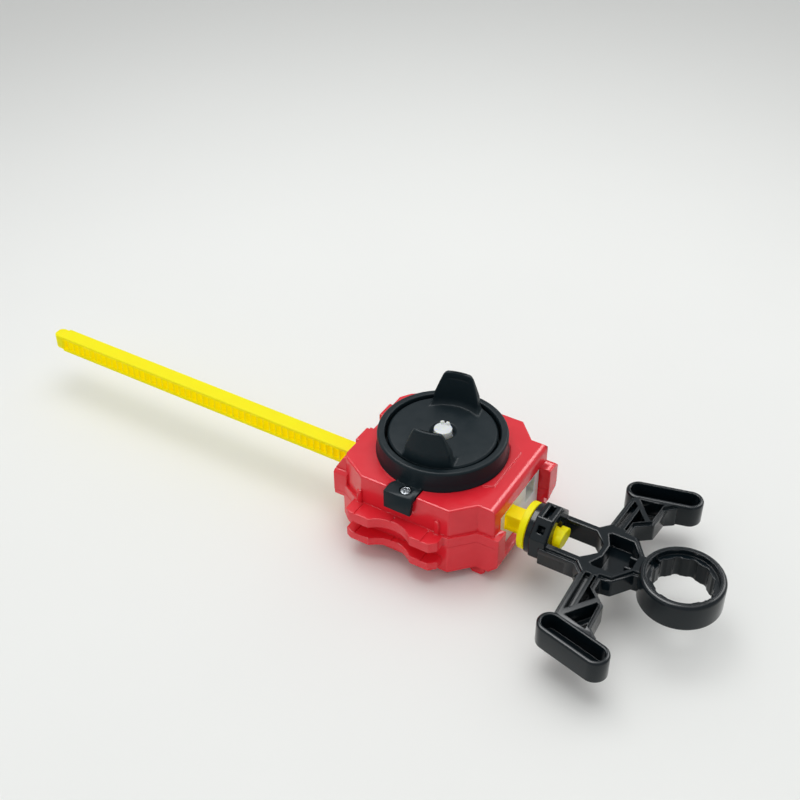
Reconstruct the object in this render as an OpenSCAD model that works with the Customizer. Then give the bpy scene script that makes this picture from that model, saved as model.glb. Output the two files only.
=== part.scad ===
// Rip-cord launcher for spinning tops: a two-shell casing with a geared launch head,
// a toothed rip cord that runs through it, and a T-handle locked on the cord's plug.
// It stands head up. The origin lies on the resting plane, under the spin axis.
// +X runs along the cord towards the handle, and +Z is up.

/* [Casing] */
// Distance from the spin axis to the end face towards the handle
right_l = 27.8; // [27:0.1:32]
// Distance from the spin axis to the end face away from the handle
left_l = 24.6; // [24:0.1:28]
// Width of the casing's upper tier
case_w = 48.6; // [48:0.2:56]
// Reach of the straight front edge towards the handle
front_right = 15.9; // [15:0.1:18]
// Reach of the straight front edge away from the handle
front_left = 14.8; // [14:0.1:17]
// Distance from the spin axis to the notches beside the end towards the handle
notch_x = 22.2; // [21.6:0.1:24]
// Width of the end faces
notch_w = 35.4; // [34.8:0.2:40]
// How far the two hoods over the channels stand out of the left end
hood_out = 1; // [0.6:0.1:1.6]
// Wall thickness of both shells
wall = 2; // [1.6:0.1:2.4]
// Thickness of the face shell's roof
roof = 2.4; // [2:0.1:4]
// Height of the feet under the casing
foot_h = 3.4; // [2:0.1:6]
// Width of a foot
foot_w = 5.4; // [4:0.1:6]
// Radius of the round boss that stands on the table
rest_r = 9; // [7:0.5:11]
// Height of the base shell from its underside to the seam
base_h = 10.6; // [10:0.1:11.4]
// Height of the ledge between the two tiers above the underside
ledge_h = 14.2; // [13.4:0.1:16]
// How far the lower tier stands out at the front
tier_step = 0.8; // [0.4:0.1:1.2]
// How far the lower tier stands out at the end towards the handle
end_step = 2; // [1.2:0.1:3]
// Chamfer under the end faces
end_chamfer = 2.8; // [1:0.1:2.8]
// How far the right corner lug stands out of its end face
lug_out = 3.6; // [3:0.1:5]
// How far the left corner lug stands out of its end face
lug_left_out = 2.9; // [2:0.1:4]
// Height of a corner lug's top above the casing's underside
lug_h = 18.8; // [17:0.1:21]
// Width of a corner lug
lug_w = 5.6; // [4.5:0.1:6]

/* [Grip rail] */
// Length of the grip rail
rail_l = 31.8; // [28:0.2:34]
// Distance of the rail's middle from the spin axis, away from the handle
rail_back = 1.6; // [0:0.1:2]
// How far the rail stands out of the lower tier
rail_out = 5; // [4.5:0.1:6]
// Height of the slot between the two lips
slot_h = 4.6; // [4.4:0.1:5]
// Thickness of the upper lip
lip_upper_t = 3.6; // [3:0.1:4]
// Thickness of the lower lip
lip_lower_t = 3; // [2.5:0.1:3.4]
// Radius of the scallop in the lips
scallop_r = 10.5; // [8:0.1:12]
// Depth of the scallop
scallop_d = 2.9; // [2:0.1:4]
// Chamfer of the lips' end corners
lip_chamfer = 2; // [1:0.1:3]
// Width of the short stop posts over the upper lip
post_w = 1.6; // [1:0.1:2.4]
// Height of the stop posts
post_h = 5; // [3:0.1:6]

/* [Launch head] */
// Outer radius of the collar ring's rim
ring_r = 20.4; // [19.6:0.1:21]
// Wall of the collar ring
ring_wall = 2.4; // [1.8:0.1:2.8]
// Height of the collar ring
ring_h = 7; // [6.4:0.1:8]
// Radius of the launch disc
disc_r = 17.1; // [16.4:0.1:17.4]
// Rise of the disc from its edge to its middle
disc_rise = 0.3; // [0.2:0.1:1]
// Radius of the hole for the plunger's head
disc_hole_r = 3.4; // [3.1:0.05:3.5]
// Height of a prong above the disc's edge
prong_h = 11.7; // [10:0.1:12.4]
// Width of a prong at its tip
prong_tip_w = 10; // [9:0.1:11]
// Width of a prong at its crease
prong_mid_w = 14.2; // [12.4:0.1:15]
// Width of a prong's flared foot
prong_foot_w = 17.2; // [16:0.1:18.4]
// Angle of the prongs from the Y axis at rest
prong_turn = 11; // [0:1:30]
// Width of the collar ring's screw tab
tab_w = 11; // [9.5:0.1:12]
// Height of the tab's flap in front of the casing
tab_drop = 6.8; // [5:0.1:8]
// Thickness of the tab and of its flap
tab_t = 1.4; // [1.2:0.1:1.8]

/* [Spindle and plunger] */
// Radius of the spindle's lower journal
journal_r = 2.5; // [2.3:0.05:2.7]
// Outer radius of the spindle's cup, which is its upper journal
cup_r = 5.5; // [5.4:0.05:5.8]
// Bore of the cup
cup_bore_r = 4.1; // [4:0.05:4.3]
// Wall of the two bushes
bush_wall = 1.7; // [1.4:0.1:2]
// Radial running clearance of the journals
run_gap = 0.05; // [0.03:0.01:0.09]
// Radial gap of pieces that are pressed or screwed together
press_gap = 0.02; // [0.01:0.01:0.04]
// Thickness of the thrust washers
washer_t = 0.5; // [0.4:0.1:0.6]
// Radius of the plunger's head
plunger_r = 2.85; // [2.6:0.05:2.95]
// Travel of the plunger
plunger_travel = 2; // [1:0.1:2]
// Wire diameter of the plunger's spring
wire_d = 0.6; // [0.5:0.05:0.65]
// Number of curls in the plunger's spring
curls = 4; // [3:1:4]

/* [Gear and rip cord] */
// Gear module
gear_m = 0.8; // [0.75:0.01:0.82]
// Teeth of the drive pinion
pinion_teeth = 14; // [14:1:14]
// Tooth play along the pitch line
backlash = 0.24; // [0.2:0.02:0.3]
// Width of the cord's flanges
cord_w = 5.2; // [5:0.1:5.6]
// Height of the cord
cord_h = 6.2; // [6:0.1:6.6]
// Thickness of each flange
flange_t = 1; // [0.8:0.1:1.1]
// How far the tooth crests lie behind the flange edges
crest_in = 0.3; // [0.2:0.05:0.35]
// Reach of the toothed strip from the spin axis, away from the handle
cord_reach = 151; // [120:1:170]
// Length of the rounded tongue at the cord's tip
tongue_l = 4.2; // [3:0.1:6]
// Width of the plain neck between the last tooth and the plug
neck_w = 3.4; // [3:0.1:4.4]
// Clearance around the cord in its channel
cord_gap = 0.35; // [0.3:0.05:0.5]
// Thickness of the rack guide's floor
guide_floor = 6.2; // [5.5:0.1:6.8]
// Thickness of the rack guide's roof
guide_roof = 1; // [0.8:0.1:1.6]
// Side wall of the rack guide
guide_wall = 3; // [2:0.1:3.2]

/* [Handle] */
// Gap between the casing's end and the plug's flange
neck_gap = 3.8; // [3:0.1:6]
// Radius of the plug's flange
plug_flange_r = 7.6; // [7:0.1:8]
// Radius of the plug in the collar
plug_r = 5.4; // [5:0.05:5.8]
// Outer radius of the handle's collar
collar_r = 8; // [7.6:0.1:8.6]
// Length of the handle's collar
collar_l = 7.5; // [7:0.1:9]
// Half width of the eight-sided band around the collar
band_r = 8.5; // [8.2:0.1:9]
// Length of the eight-sided band
band_l = 5.3; // [5:0.1:6]
// Thickness of the handle's frame
frame_t = 7; // [6:0.1:8]
// How far the frame's middle lies below the cord's axis
frame_drop = 1.5; // [0:0.1:2]
// Height of a pad
pad_h = 7.8; // [6:0.1:9]
// How far the pads' middle lies below the cord's axis
pad_drop = 3.8; // [2:0.1:5]
// Length of the open window behind the collar
window_l = 14; // [12:0.5:18]
// How far the two beams lie outside the collar
beam_out = 0.8; // [0:0.1:1.2]
// Thickness of the two beams beside the window
beam_t = 2.8; // [2:0.1:3.4]
// Length of the handle's middle, from the window to the ring's neck
hub_l = 13; // [12.5:0.5:16]
// Distance of the pads' middle from the cord's axis
pad_reach = 33.5; // [32:0.5:38]
// Length of a pad
pad_l = 24; // [22:0.5:28]
// Width of a pad
pad_w = 8.2; // [7:0.1:9]
// Splay of the pads
pad_splay = 14; // [8:1:16]
// Outer radius of the tool ring
tool_r = 12.5; // [12:0.1:14]
// Height of the tool ring
tool_h = 9; // [7:0.1:10]
// Wall of the tool ring's rim
tool_rim = 2; // [1.4:0.1:2.4]
// Inner radius of the tool ring at its scallops
tool_bore_r = 9.2; // [8.6:0.1:9.6]
// Scallops in the tool ring
tool_lobes = 12; // [8:1:16]
// Width of the ledge along the frame's outer edge
ledge_w = 0.9; // [0.6:0.1:1.2]
// Depth of that ledge
ledge_d = 1; // [0.6:0.1:1.6]
// Width of an arm where it leaves the frame
root_w = 6.5; // [6:0.1:7.5]
// Depth of the shallow channel beside each arm's outer wall
channel_d = 1.8; // [1:0.1:3]
// Wall left around the handle's hollows
rib_t = 1.3; // [1:0.1:1.5]
// Floor left under the handle's hollows
web_t = 2; // [1.2:0.1:3]

/* [Hidden] */
$fn = 64;

red = "#d9303d";
black = "#23292c";
yellow = "#f6e80c";
white = "#e6e4da";
steel = "#b9bcc0";
brass = "#c9a24b";
eps = 0.01;
cut = 1;

// Pinion, rack and cord
pitch = PI * gear_m;
pitch_r = gear_m * pinion_teeth / 2;
addendum = gear_m;
dedendum = 1.25 * gear_m;
pressure_angle = 25;
tip_r = pitch_r + addendum;
root_r = pitch_r - dedendum;
base_r = pitch_r * cos(pressure_angle);
crest_y = cord_w / 2 - crest_in;
cord_pitch_y = crest_y - addendum;
web_y = cord_pitch_y - dedendum;
cord_y = -(pitch_r + cord_pitch_y);
tooth_l = pitch / 2 - backlash / 2;
face_play = 0.3;
face_h = cord_h - 2 * flange_t - 2 * face_play;

// Levels
bush_rise = 2.6;
guide_z = foot_h + wall + bush_rise;
channel_z = guide_z + guide_floor;
cord_z = channel_z + cord_gap + cord_h / 2;
channel_h = cord_h + 2 * cord_gap;
guide_top = channel_z + channel_h + guide_roof;
seam_z = foot_h + base_h;
ledge_z = foot_h + ledge_h;
bush_drop = 1.2;
shoulder_z = guide_top + washer_t + run_gap;
head_room = 3.6;
roof_z = guide_top + head_room;
top_z = roof_z + roof;

// Guide block and the windows that it shows in
guide_w = 2 * (abs(cord_y) + cord_w / 2 + cord_gap + guide_wall);
guide_in = 0.3;
window_gap = 0.2;
case_mid = (right_l - left_l) / 2;
case_l = right_l + left_l;
tip_gap = 0.6;
pocket_r = tip_r + tip_gap;

// Bosses and fasteners
screw_r = 1;
head_r = 1.9;
head_h = 1.4;
sink_r = 2.2;
sink_h = 1.7;
boss_r = 2.8;
boss_in = 6.6;
boss_x = notch_x - boss_in;
boss_y = notch_w / 2 - 0.2;
screw_l = 15;
small_r = 0.9;
small_head_r = 1.7;
small_head_h = 1;
small_sink_r = 1.95;
guide_screw_x = 18;
guide_screw_l = 9;
clamp_r = 1.8;
clamp_x = 16.5;
clamp_y = guide_w / 2 - guide_wall / 2;
foot_in = 1.3;
foot_x = notch_x - foot_in;
foot_y = notch_w / 2 - foot_w / 2;

// Bushes, spindle, disc and plunger
lower_bush_r = journal_r + run_gap + bush_wall;
upper_bush_r = cup_r + run_gap + bush_wall;
bush_seat = 0.4;
bush_lip = 1.1;
bush_lip_t = 0.8;
disc_lift = 0.5;
ring_floor = 1;
disc_z = top_z + ring_floor + disc_lift;
rim_top = top_z + ring_h;
disc_sink = 0.4;
disc_edge_z = rim_top - disc_sink;
disc_top_z = disc_edge_z + disc_rise;
disc_plate = 2.9;
hex_r = 6.4;
hex_in = 0.2;
hex_z = disc_z + hex_in;
cup_top = disc_top_z - disc_plate;
pinion_z = cord_z - face_h / 2;
clip_t = 0.6;
clip_r = 3.9;
clip_groove_r = 2;
neck_r = 3.2;
drive_hex_r = 2.9;
foot_gap = 0.3;
spindle_foot = foot_h + wall + foot_gap;
stop_r = cup_bore_r - run_gap;
stop_t = 1.6;
stop_z = cup_top - run_gap - stop_t;
plunger_out = 1;
spring_spare = 0.9;
cup_floor = stop_z - (curls + 1) * wire_d - plunger_travel - spring_spare;
spring_side_gap = 0.3;
spring_r = cup_bore_r - spring_side_gap - wire_d / 2;
spring_low = cup_floor + wire_d / 2 + run_gap;
spring_high = stop_z - wire_d / 2 - run_gap;

// Left lug and grip rail's posts
lug_left_side = 2.8;
post_in = 2.3;

// Collar ring's tab
ring_draft = 0.5;
tab_proud = 0.2;
tab_gap = 0.15;
tab_slim = 1.2;
tab_z = top_z + tab_proud;
tab_screw_x = 0.2;
tab_screw_y = -(ring_r + ring_draft + small_sink_r);
tab_boss_wall = 0.95;
tab_boss_r = small_r + tab_boss_wall;
tab_fold_y = -max(case_w / 2, tab_boss_r - tab_screw_y) - tab_proud - tab_t;
tab_screw_l = 5.5;

// Plug and handle
neck_x = right_l + end_step + neck_gap;
plug_flange_t = 2.2;
twist_gap = 0.3;
collar_x = neck_x + plug_flange_t + twist_gap;
collar_end = collar_x + collar_l;
collar_wall = 2;
band_shy = 0.3;
band_x = collar_end - band_l - band_shy;
bar_t = 3.4;
bar_r = 2.6;
bar_half = 4.6;
stem_r = 3;
root_y = collar_r;
beam_y = collar_r + beam_out;
window_y = beam_y - beam_t;
hub_x = collar_end + window_l;
neck_end = hub_x + hub_l;
tool_x = neck_end + tool_r;
arm_in = 1.7;
arm_w = 10.8;
pad_shift = 3.2;
arm_x0 = hub_x - arm_in;
arm_x1 = arm_x0 + arm_w;
pad_x = (arm_x0 + arm_x1) / 2 + pad_shift;

// Outline of a tier, moved out by grow, and by grow + far at the end towards the handle
function tier(grow, far = 0) = let(
        e = right_l + grow + far,
        w = left_l + grow,
        s = case_w / 2 + grow,
        v = notch_w / 2 + grow,
        side = grow * tan(22.5))
    [[front_right + side, -s], [notch_x + side, -v], [e, -v],
     [e, v], [notch_x + side, v], [front_right + side, s], [-front_left - side, s],
     [-w + 2.2, v + 0.6], [-w, v - 2.6],
     [-w, -v + 0.6], [-w + 1.2, -v - 1.6], [-front_left - side, -s]];

module tier_solid(grow, far, z0, z1)
    translate([0, 0, z0]) linear_extrude(z1 - z0) polygon(tier(grow, far));

module at_corners(x, y)
    for (sx = [-1, 1], sy = [-1, 1]) translate([case_mid + sx * x, sy * y, 0]) children();

module rod(r, z0, z1) translate([0, 0, z0]) cylinder(r = r, h = z1 - z0);

// Plan of a grip lip: a bar with chamfered corners and a scallop in the middle
module lip(z0, t) {
    half = rail_l / 2;
    face_y = case_w / 2 + tier_step;
    out_y = face_y + rail_out;
    translate([-rail_back, 0, z0]) linear_extrude(t) difference() {
        polygon([[-half, -face_y + cut], [-half, -out_y + lip_chamfer / 2],
            [-half + lip_chamfer, -out_y], [half - lip_chamfer, -out_y],
            [half, -out_y + lip_chamfer], [half, -face_y + cut]]);
        translate([0, -out_y + scallop_d - scallop_r]) circle(r = scallop_r);
    }
}

// Seams between the blocks of a lip
module lip_seams(z0, t) {
    seam_w = 0.4;
    seam_d = 0.3;
    face_y = case_w / 2 + tier_step;
    for (x = [-rail_l / 2 + 3.4, -1, rail_l / 2 - 5])
        translate([x - rail_back, -face_y - rail_out - cut, z0 + t - seam_d])
            cube([seam_w, rail_out + cut, cut]);
}

// The windows in the end walls, where the rack guide shows
module end_windows() {
    y = guide_w / 2 + window_gap;
    past = end_step + cut;
    translate([-left_l - past, -y, guide_z])
        cube([case_l + 2 * past, 2 * y, guide_top + window_gap - guide_z]);
}

// A corner lug with a slanted underside, on an end face at x, reaching y1 sideways
module corner_lug(x, out, y1) {
    y0 = y1 - lug_w;
    slant = 2.4;
    chamfer = 1;
    foot_z = foot_h + base_h - 4;
    top = foot_h + lug_h;
    translate([x - wall, 0, 0]) rotate([90, 0, 90]) linear_extrude(wall + out)
        polygon([[y0, foot_z], [y1, foot_z + slant], [y1, top - chamfer], [y1 - chamfer, top], [y0, top]]);
}

// The sloped shoulder between the casing's top and the left lug
module shoulder(y1) {
    top = foot_h + lug_h;
    rotate([90, 0, 0]) translate([0, 0, -y1]) linear_extrude(lug_w)
        polygon([[left_l - wall, top - cut], [left_l + lug_left_out, top - cut],
            [left_l + lug_left_out, top], [left_l, top_z - cut], [left_l - wall, top_z - cut]]);
}

// The lugs on the far right and the near left corner, between two levels
module corner_lugs(z0, z1) intersection() {
    left_y = notch_w / 2 + lug_left_side;
    shoulder_in = 1.4;
    union() {
        corner_lug(right_l, lug_out, notch_w / 2 + tier_step);
        rotate([0, 0, 180]) corner_lug(left_l, lug_left_out, left_y);
        rotate([0, 0, 180]) shoulder(left_y - shoulder_in);
    }
    translate([-2 * left_l, -case_w, z0]) cube([2 * case_l, 2 * case_w, z1 - z0]);
}

// The hoods over the two channels at the left end
module hoods() {
    hood_side = 0.45;
    half = cord_w / 2 + cord_gap + hood_side;
    low = guide_top + window_gap;
    for (side = [-1, 1]) translate([-left_l - hood_out, side * cord_y - half, low])
        cube([hood_out + wall, 2 * half, top_z - low]);
}

// The hollow between the hoods
module hood_gap() {
    depth = 1.1;
    half = 3;
    low = guide_top + 1.4;
    translate([-left_l - cut, -half, low]) cube([depth + cut, 2 * half, top_z - low + cut]);
}

module base_shell() color(red) difference() {
    union() {
        difference() {
            union() {
                tier_solid(tier_step, end_step - tier_step, foot_h, seam_z);
                lip(seam_z - slot_h - lip_lower_t, lip_lower_t);
                corner_lugs(foot_h, seam_z);
            }
            tier_solid(-wall, 0, foot_h + wall, seam_z + cut);
            end_windows();
            end_chamfers();
            lip_seams(seam_z - slot_h - lip_lower_t, lip_lower_t);
        }
        rod(rest_r, 0, foot_h + eps);
        rod(lower_bush_r + bush_lip + 1.5, foot_h, guide_z);
        at_corners(boss_x, boss_y) rod(boss_r, foot_h, seam_z);
        at_corners(clamp_x, clamp_y) rod(clamp_r, foot_h, guide_z);
        at_corners(foot_x, foot_y) foot();
    }
    rod(lower_bush_r + press_gap, foot_h + wall - bush_seat, guide_z + cut);
    rod(lower_bush_r + bush_lip + press_gap, guide_z - bush_lip_t, guide_z + cut);
    at_corners(boss_x, boss_y) {
        rod(screw_r + press_gap, foot_h, seam_z + cut);
        rod(sink_r, foot_h - cut, foot_h + sink_h);
    }
}

// The chamfers that draw in the casing's underside at both ends
module end_chamfers()
    for (end = [-left_l - tier_step, right_l + end_step]) translate([end, 0, foot_h]) rotate([0, 45, 0])
        cube([end_chamfer * sqrt(2), 2 * case_w, end_chamfer * sqrt(2)], center = true);

// A foot with chamfered edges
module foot() {
    chamfer = 1.2;
    w = foot_w / 2;
    rotate([90, 0, 0]) translate([0, 0, -w]) linear_extrude(foot_w)
        polygon([[-w, foot_h + eps], [-w, chamfer], [-w + chamfer, 0], [w - chamfer, 0],
            [w, chamfer], [w, foot_h + eps]]);
}

module face_shell() color(red) difference() {
    union() {
        difference() {
            union() {
                tier_solid(0, 0, seam_z, top_z);
                tier_solid(tier_step, end_step - tier_step, seam_z, ledge_z);
                lip(seam_z, lip_upper_t);
                corner_lugs(seam_z, top_z);
                hoods();
                stop_posts();
                top_platform();
            }
            tier_solid(-wall, 0, seam_z - cut, roof_z);
            end_windows();
            lip_seams(seam_z, lip_upper_t);
            tab_notch();
            hood_gap();
        }
        rod(upper_bush_r + 1.6, roof_z - bush_drop, roof_z + eps);
        at_corners(boss_x, boss_y) rod(boss_r, seam_z, roof_z + eps);
        at_corners(clamp_x, clamp_y) rod(clamp_r, guide_top, roof_z + eps);
        tab_boss();
    }
    rod(upper_bush_r + press_gap, roof_z - bush_drop - cut, top_z + cut);
    at_corners(boss_x, boss_y) rod(screw_r + press_gap, seam_z - cut, foot_h + sink_h + screw_l + 0.5);
    translate([tab_screw_x, tab_screw_y, 0])
        rod(small_r + press_gap, tab_z - tab_t - tab_screw_l, tab_z + cut);
}

// Two small posts on the front wall that stop what slides onto the rail
module stop_posts()
    for (side = [-1, 1])
        translate([side * (rail_l / 2 - post_in) - rail_back, -case_w / 2 - tier_step, ledge_z - eps])
            translate([-post_w / 2, 0, 0]) cube([post_w, tier_step + eps, post_h]);

// A shallow raised field beside the collar ring
module top_platform() {
    field_h = 0.4;
    field_x = ring_r + 2;
    field_y = ring_r / 2;
    translate([0, 0, top_z - eps]) linear_extrude(field_h + eps) difference() {
        polygon([[0, -field_y - 1.5], [field_x - 3, -field_y + 0.5], [field_x, -field_y + 2],
            [field_x, field_y], [field_x - 2, field_y + 1.5], [0, field_y + 1.5]]);
        circle(r = ring_r + ring_draft + 0.2);
    }
}

// Plan of the tab between the ring and the fold, widened by gap
module tab_plan(gap) {
    w = tab_w / 2 + gap;
    polygon([[-w + 2, -ring_r + 2], [-w, -ring_r - 2], [-w, tab_fold_y], [w - tab_slim, tab_fold_y],
        [w - tab_slim, -ring_r + 2]]);
}

module tab_notch()
    translate([0, 0, tab_z - tab_t]) linear_extrude(tab_t + cut) difference() {
        tab_plan(tab_gap);
        circle(r = ring_r - tab_gap);
    }

// The boss under the tab's screw, tied to the front wall
module tab_boss() {
    low = tab_z - tab_t - tab_screw_l - cut;
    h = tab_z - tab_t - low;
    tie = max(eps, wall + eps - case_w / 2 - tab_screw_y);
    translate([tab_screw_x, tab_screw_y, 0]) rod(tab_boss_r, low, low + h);
    translate([tab_screw_x - tab_boss_r, tab_screw_y, low]) cube([2 * tab_boss_r, tie, h]);
}

module collar_ring() color(black) difference() {
    union() {
        rotate_extrude() polygon([[upper_bush_r + bush_lip + 0.4, top_z], [ring_r + ring_draft, top_z],
            [ring_r, top_z + 2.2], [ring_r, rim_top - 0.5], [ring_r - 0.5, rim_top],
            [ring_r - ring_wall + 0.3, rim_top], [ring_r - ring_wall, rim_top - 0.3],
            [ring_r - ring_wall, top_z + ring_floor], [upper_bush_r + bush_lip + 0.4, top_z + ring_floor]]);
        difference() {
            translate([0, 0, tab_z - tab_t]) linear_extrude(tab_t) tab_plan(0);
            rod(ring_r + eps, tab_z - tab_t - cut, top_z);
            rod(ring_r - ring_wall / 2, top_z - cut, tab_z + cut);
        }
        tab_flap();
    }
    translate([tab_screw_x, tab_screw_y, 0]) {
        rod(small_r + press_gap, tab_z - tab_t - cut, tab_z + cut);
        rod(small_sink_r, tab_z - small_head_h, tab_z + cut);
    }
}

// The flap that folds down over the casing's front edge
module tab_flap() {
    w = tab_w / 2;
    translate([0, tab_fold_y + tab_t, 0]) rotate([90, 0, 0]) linear_extrude(tab_t)
        polygon([[-w, tab_z], [-w, tab_z - tab_drop], [w - 1.9, tab_z - tab_drop],
            [w - 1.6, tab_z - tab_drop + 2.4], [w - tab_slim, tab_z]]);
}

// A pan-head screw along Z with its head downwards, its shank starting at z = 0
module screw(r, l, hr, hh) difference() {
    union() {
        rod(r, -eps, l);
        rod(hr, -hh, 0);
    }
    for (turn = [0, 90]) rotate([0, 0, turn])
        translate([-hr * 0.6, -hr * 0.13, -hh - cut]) cube([hr * 1.2, hr * 0.26, hh * 0.5 + cut]);
}

module casing_screws() color(steel)
    at_corners(boss_x, boss_y)
        translate([0, 0, foot_h + sink_h]) screw(screw_r, screw_l, head_r, head_h);

module collar_screw() color(steel)
    translate([tab_screw_x, tab_screw_y, tab_z - small_head_h]) mirror([0, 0, 1])
        screw(small_r, tab_screw_l, small_head_r, small_head_h - 0.2);

module guide_screws() color(steel)
    for (sx = [-1, 1]) translate([case_mid + sx * guide_screw_x, 0, guide_top - small_head_h])
        mirror([0, 0, 1]) screw(small_r, guide_screw_l, small_head_r, small_head_h - 0.1);

// The block that holds both cord channels, and the cuts that both halves share
module guide_block(z0, z1)
    translate([-left_l + guide_in, -guide_w / 2, z0])
        cube([case_l - 2 * guide_in, guide_w, z1 - z0]);

module guide_cuts() {
    half = cord_w / 2 + cord_gap;
    for (side = [-1, 1])
        translate([-left_l - cut, side * cord_y - half, channel_z])
            cube([case_l + 2 * cut, 2 * half, channel_h]);
    rod(pocket_r, channel_z, channel_z + channel_h);
    rod(neck_r + 0.4, guide_z - cut, guide_top + cut);
    for (sx = [-1, 1]) translate([case_mid + sx * guide_screw_x, 0, 0]) {
        rod(small_r + press_gap, guide_top - small_head_h - guide_screw_l - 0.4, guide_top + cut);
        rod(small_sink_r, guide_top - small_head_h, guide_top + cut);
    }
}

module guide_lower() color(white) difference() {
    guide_block(guide_z, cord_z);
    guide_cuts();
}

module guide_upper() color(white) difference() {
    guide_block(cord_z, guide_top);
    guide_cuts();
}

module lower_bush() color(brass) difference() {
    union() {
        rod(lower_bush_r, foot_h + wall - bush_seat, guide_z);
        rod(lower_bush_r + bush_lip, guide_z - bush_lip_t, guide_z);
    }
    rod(journal_r + run_gap, foot_h, guide_z + cut);
}

module upper_bush() color(brass) difference() {
    union() {
        rod(upper_bush_r, roof_z - bush_drop, top_z + bush_lip_t);
        rod(upper_bush_r + bush_lip, top_z, top_z + bush_lip_t);
    }
    rod(cup_r + run_gap, roof_z - bush_drop - cut, top_z + cut + bush_lip_t);
}

module thrust_washer() color(steel) difference() {
    rod(cup_r - 0.2, guide_top, guide_top + washer_t);
    rod(neck_r + run_gap, guide_top - cut, guide_top + washer_t + cut);
}

module lower_washer() color(steel) difference() {
    rod(clip_r, channel_z, channel_z + washer_t);
    rod(journal_r + run_gap, channel_z - cut, channel_z + washer_t + cut);
}

module spindle() color(steel) difference() {
    union() {
        rod(journal_r, spindle_foot, pinion_z - clip_t);
        rod(clip_groove_r, pinion_z - clip_t - eps, pinion_z + eps);
        translate([0, 0, pinion_z]) cylinder(r = drive_hex_r, h = face_h, $fn = 6);
        rod(neck_r, pinion_z + face_h, shoulder_z + eps);
        rod(cup_r, shoulder_z, hex_z);
        translate([0, 0, hex_z - eps]) cylinder(r = hex_r, h = cup_top - hex_z + eps, $fn = 6);
    }
    rod(cup_bore_r, cup_floor, cup_top + cut);
}

// Involute flank of a pinion tooth at radius r, measured from the tooth's middle
function inv(a) = tan(a) * 180 / PI - a;
function flank(r) = let(a = acos(min(1, base_r / r)))
    tooth_l / (2 * pitch_r) * 180 / PI + inv(pressure_angle) - inv(a);
flank_steps = 5;
function flank_r(i) = base_r + (tip_r - base_r) * i / flank_steps;
function polar(r, a) = [r * cos(a), r * sin(a)];
function tooth(mid) = concat(
    [polar(root_r, mid - flank(base_r))],
    [for (i = [0 : flank_steps]) polar(flank_r(i), mid - flank(flank_r(i)))],
    [for (i = [flank_steps : -1 : 0]) polar(flank_r(i), mid + flank(flank_r(i)))],
    [polar(root_r, mid + flank(base_r))]);

// The pinion stands with a tooth space facing the cord
module drive_pinion() color(white)
    translate([0, 0, pinion_z]) difference() {
        linear_extrude(face_h) polygon([for (k = [0 : pinion_teeth - 1])
            each tooth(-90 + (k + 0.5) * 360 / pinion_teeth)]);
        translate([0, 0, -cut]) cylinder(r = drive_hex_r + press_gap, h = face_h + 2 * cut, $fn = 6);
    }

module spindle_clip() color(steel) difference() {
    rod(clip_r, pinion_z - clip_t, pinion_z);
    rod(clip_groove_r + press_gap, pinion_z - clip_t - cut, pinion_z + cut);
    translate([-1.4, 0, pinion_z - clip_t - cut]) cube([2.8, clip_r + cut, clip_t + 2 * cut]);
}

module launch_disc() color(black) union() {
    difference() {
        rotate_extrude() polygon([[disc_hole_r, cup_top], [disc_hole_r, disc_top_z - 0.3],
            [disc_hole_r + 0.4, disc_top_z], [disc_r - 0.6, disc_edge_z], [disc_r, disc_edge_z - 0.5],
            [disc_r, disc_z], [disc_r - 1.6, disc_z], [disc_r - 1.6, disc_z + 1.8],
            [hex_r + 2, disc_z + 1.8], [hex_r + 2, disc_z], [hex_r - 1.4, disc_z], [hex_r - 1.4, cup_top]]);
        translate([0, 0, disc_z - cut])
            cylinder(r = hex_r + press_gap, h = cup_top - disc_z + cut, $fn = 6);
    }
    for (turn = [0, 180]) rotate([0, 0, turn + prong_turn]) prong();
}

// A prong: a wall turned about the spin axis, cut to a flared and tapered outline
module prong() {
    foot_z = disc_edge_z - 0.7;
    tip_z = disc_edge_z + prong_h;
    knee_z = disc_edge_z + 1.6;
    crease_z = disc_edge_z + 4.4;
    inner_r = disc_r - 3.4;
    outer_r = disc_r - 0.15;
    lean = 0.9;
    thin = 1.2;
    round = 0.4;
    intersection() {
        rotate_extrude() polygon([[inner_r, foot_z], [inner_r + thin, tip_z - round],
            [inner_r + thin + round, tip_z], [outer_r - lean - round, tip_z],
            [outer_r - lean, tip_z - round], [outer_r, crease_z], [outer_r, foot_z]]);
        rotate([90, 0, 0]) linear_extrude(disc_r + cut) polygon([
            [-prong_foot_w / 2, foot_z], [-prong_mid_w / 2 - 0.4, knee_z], [-prong_mid_w / 2, crease_z],
            [-prong_tip_w / 2, tip_z - 1.4], [-prong_tip_w / 2 + 1.2, tip_z],
            [prong_tip_w / 2 - 1.2, tip_z], [prong_tip_w / 2, tip_z - 1.4],
            [prong_mid_w / 2, crease_z], [prong_mid_w / 2 + 0.4, knee_z], [prong_foot_w / 2, foot_z]]);
    }
}

module plunger() color(white) {
    crown_z = disc_top_z + plunger_out;
    rod(stop_r, stop_z, stop_z + stop_t);
    rod(plunger_r, stop_z, crown_z);
    crown_w = 1;
    for (turn = [-35, 0, 35]) rotate([0, 0, 90 + turn])
        translate([plunger_r - crown_w - 0.2, -crown_w / 2, crown_z - eps]) cube([crown_w, crown_w, 0.7]);
}

// The spring's wire follows a screw line, where u counts curls
spring_steps = 8;
spring_sides = 6;
function spring_height(u) = spring_low + (spring_high - spring_low) * u / curls;
function spring_ring(u) = [for (k = [0 : spring_sides - 1]) let(
        a = 360 * k / spring_sides, q = spring_r + wire_d / 2 * cos(a))
    [q * cos(360 * u), q * sin(360 * u), spring_height(u) + wire_d / 2 * sin(a)]];
spring_gap = (spring_high - spring_low) / curls - wire_d;
echo(str("least gap between the spring's curls: ", spring_gap, " mm"));

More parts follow.
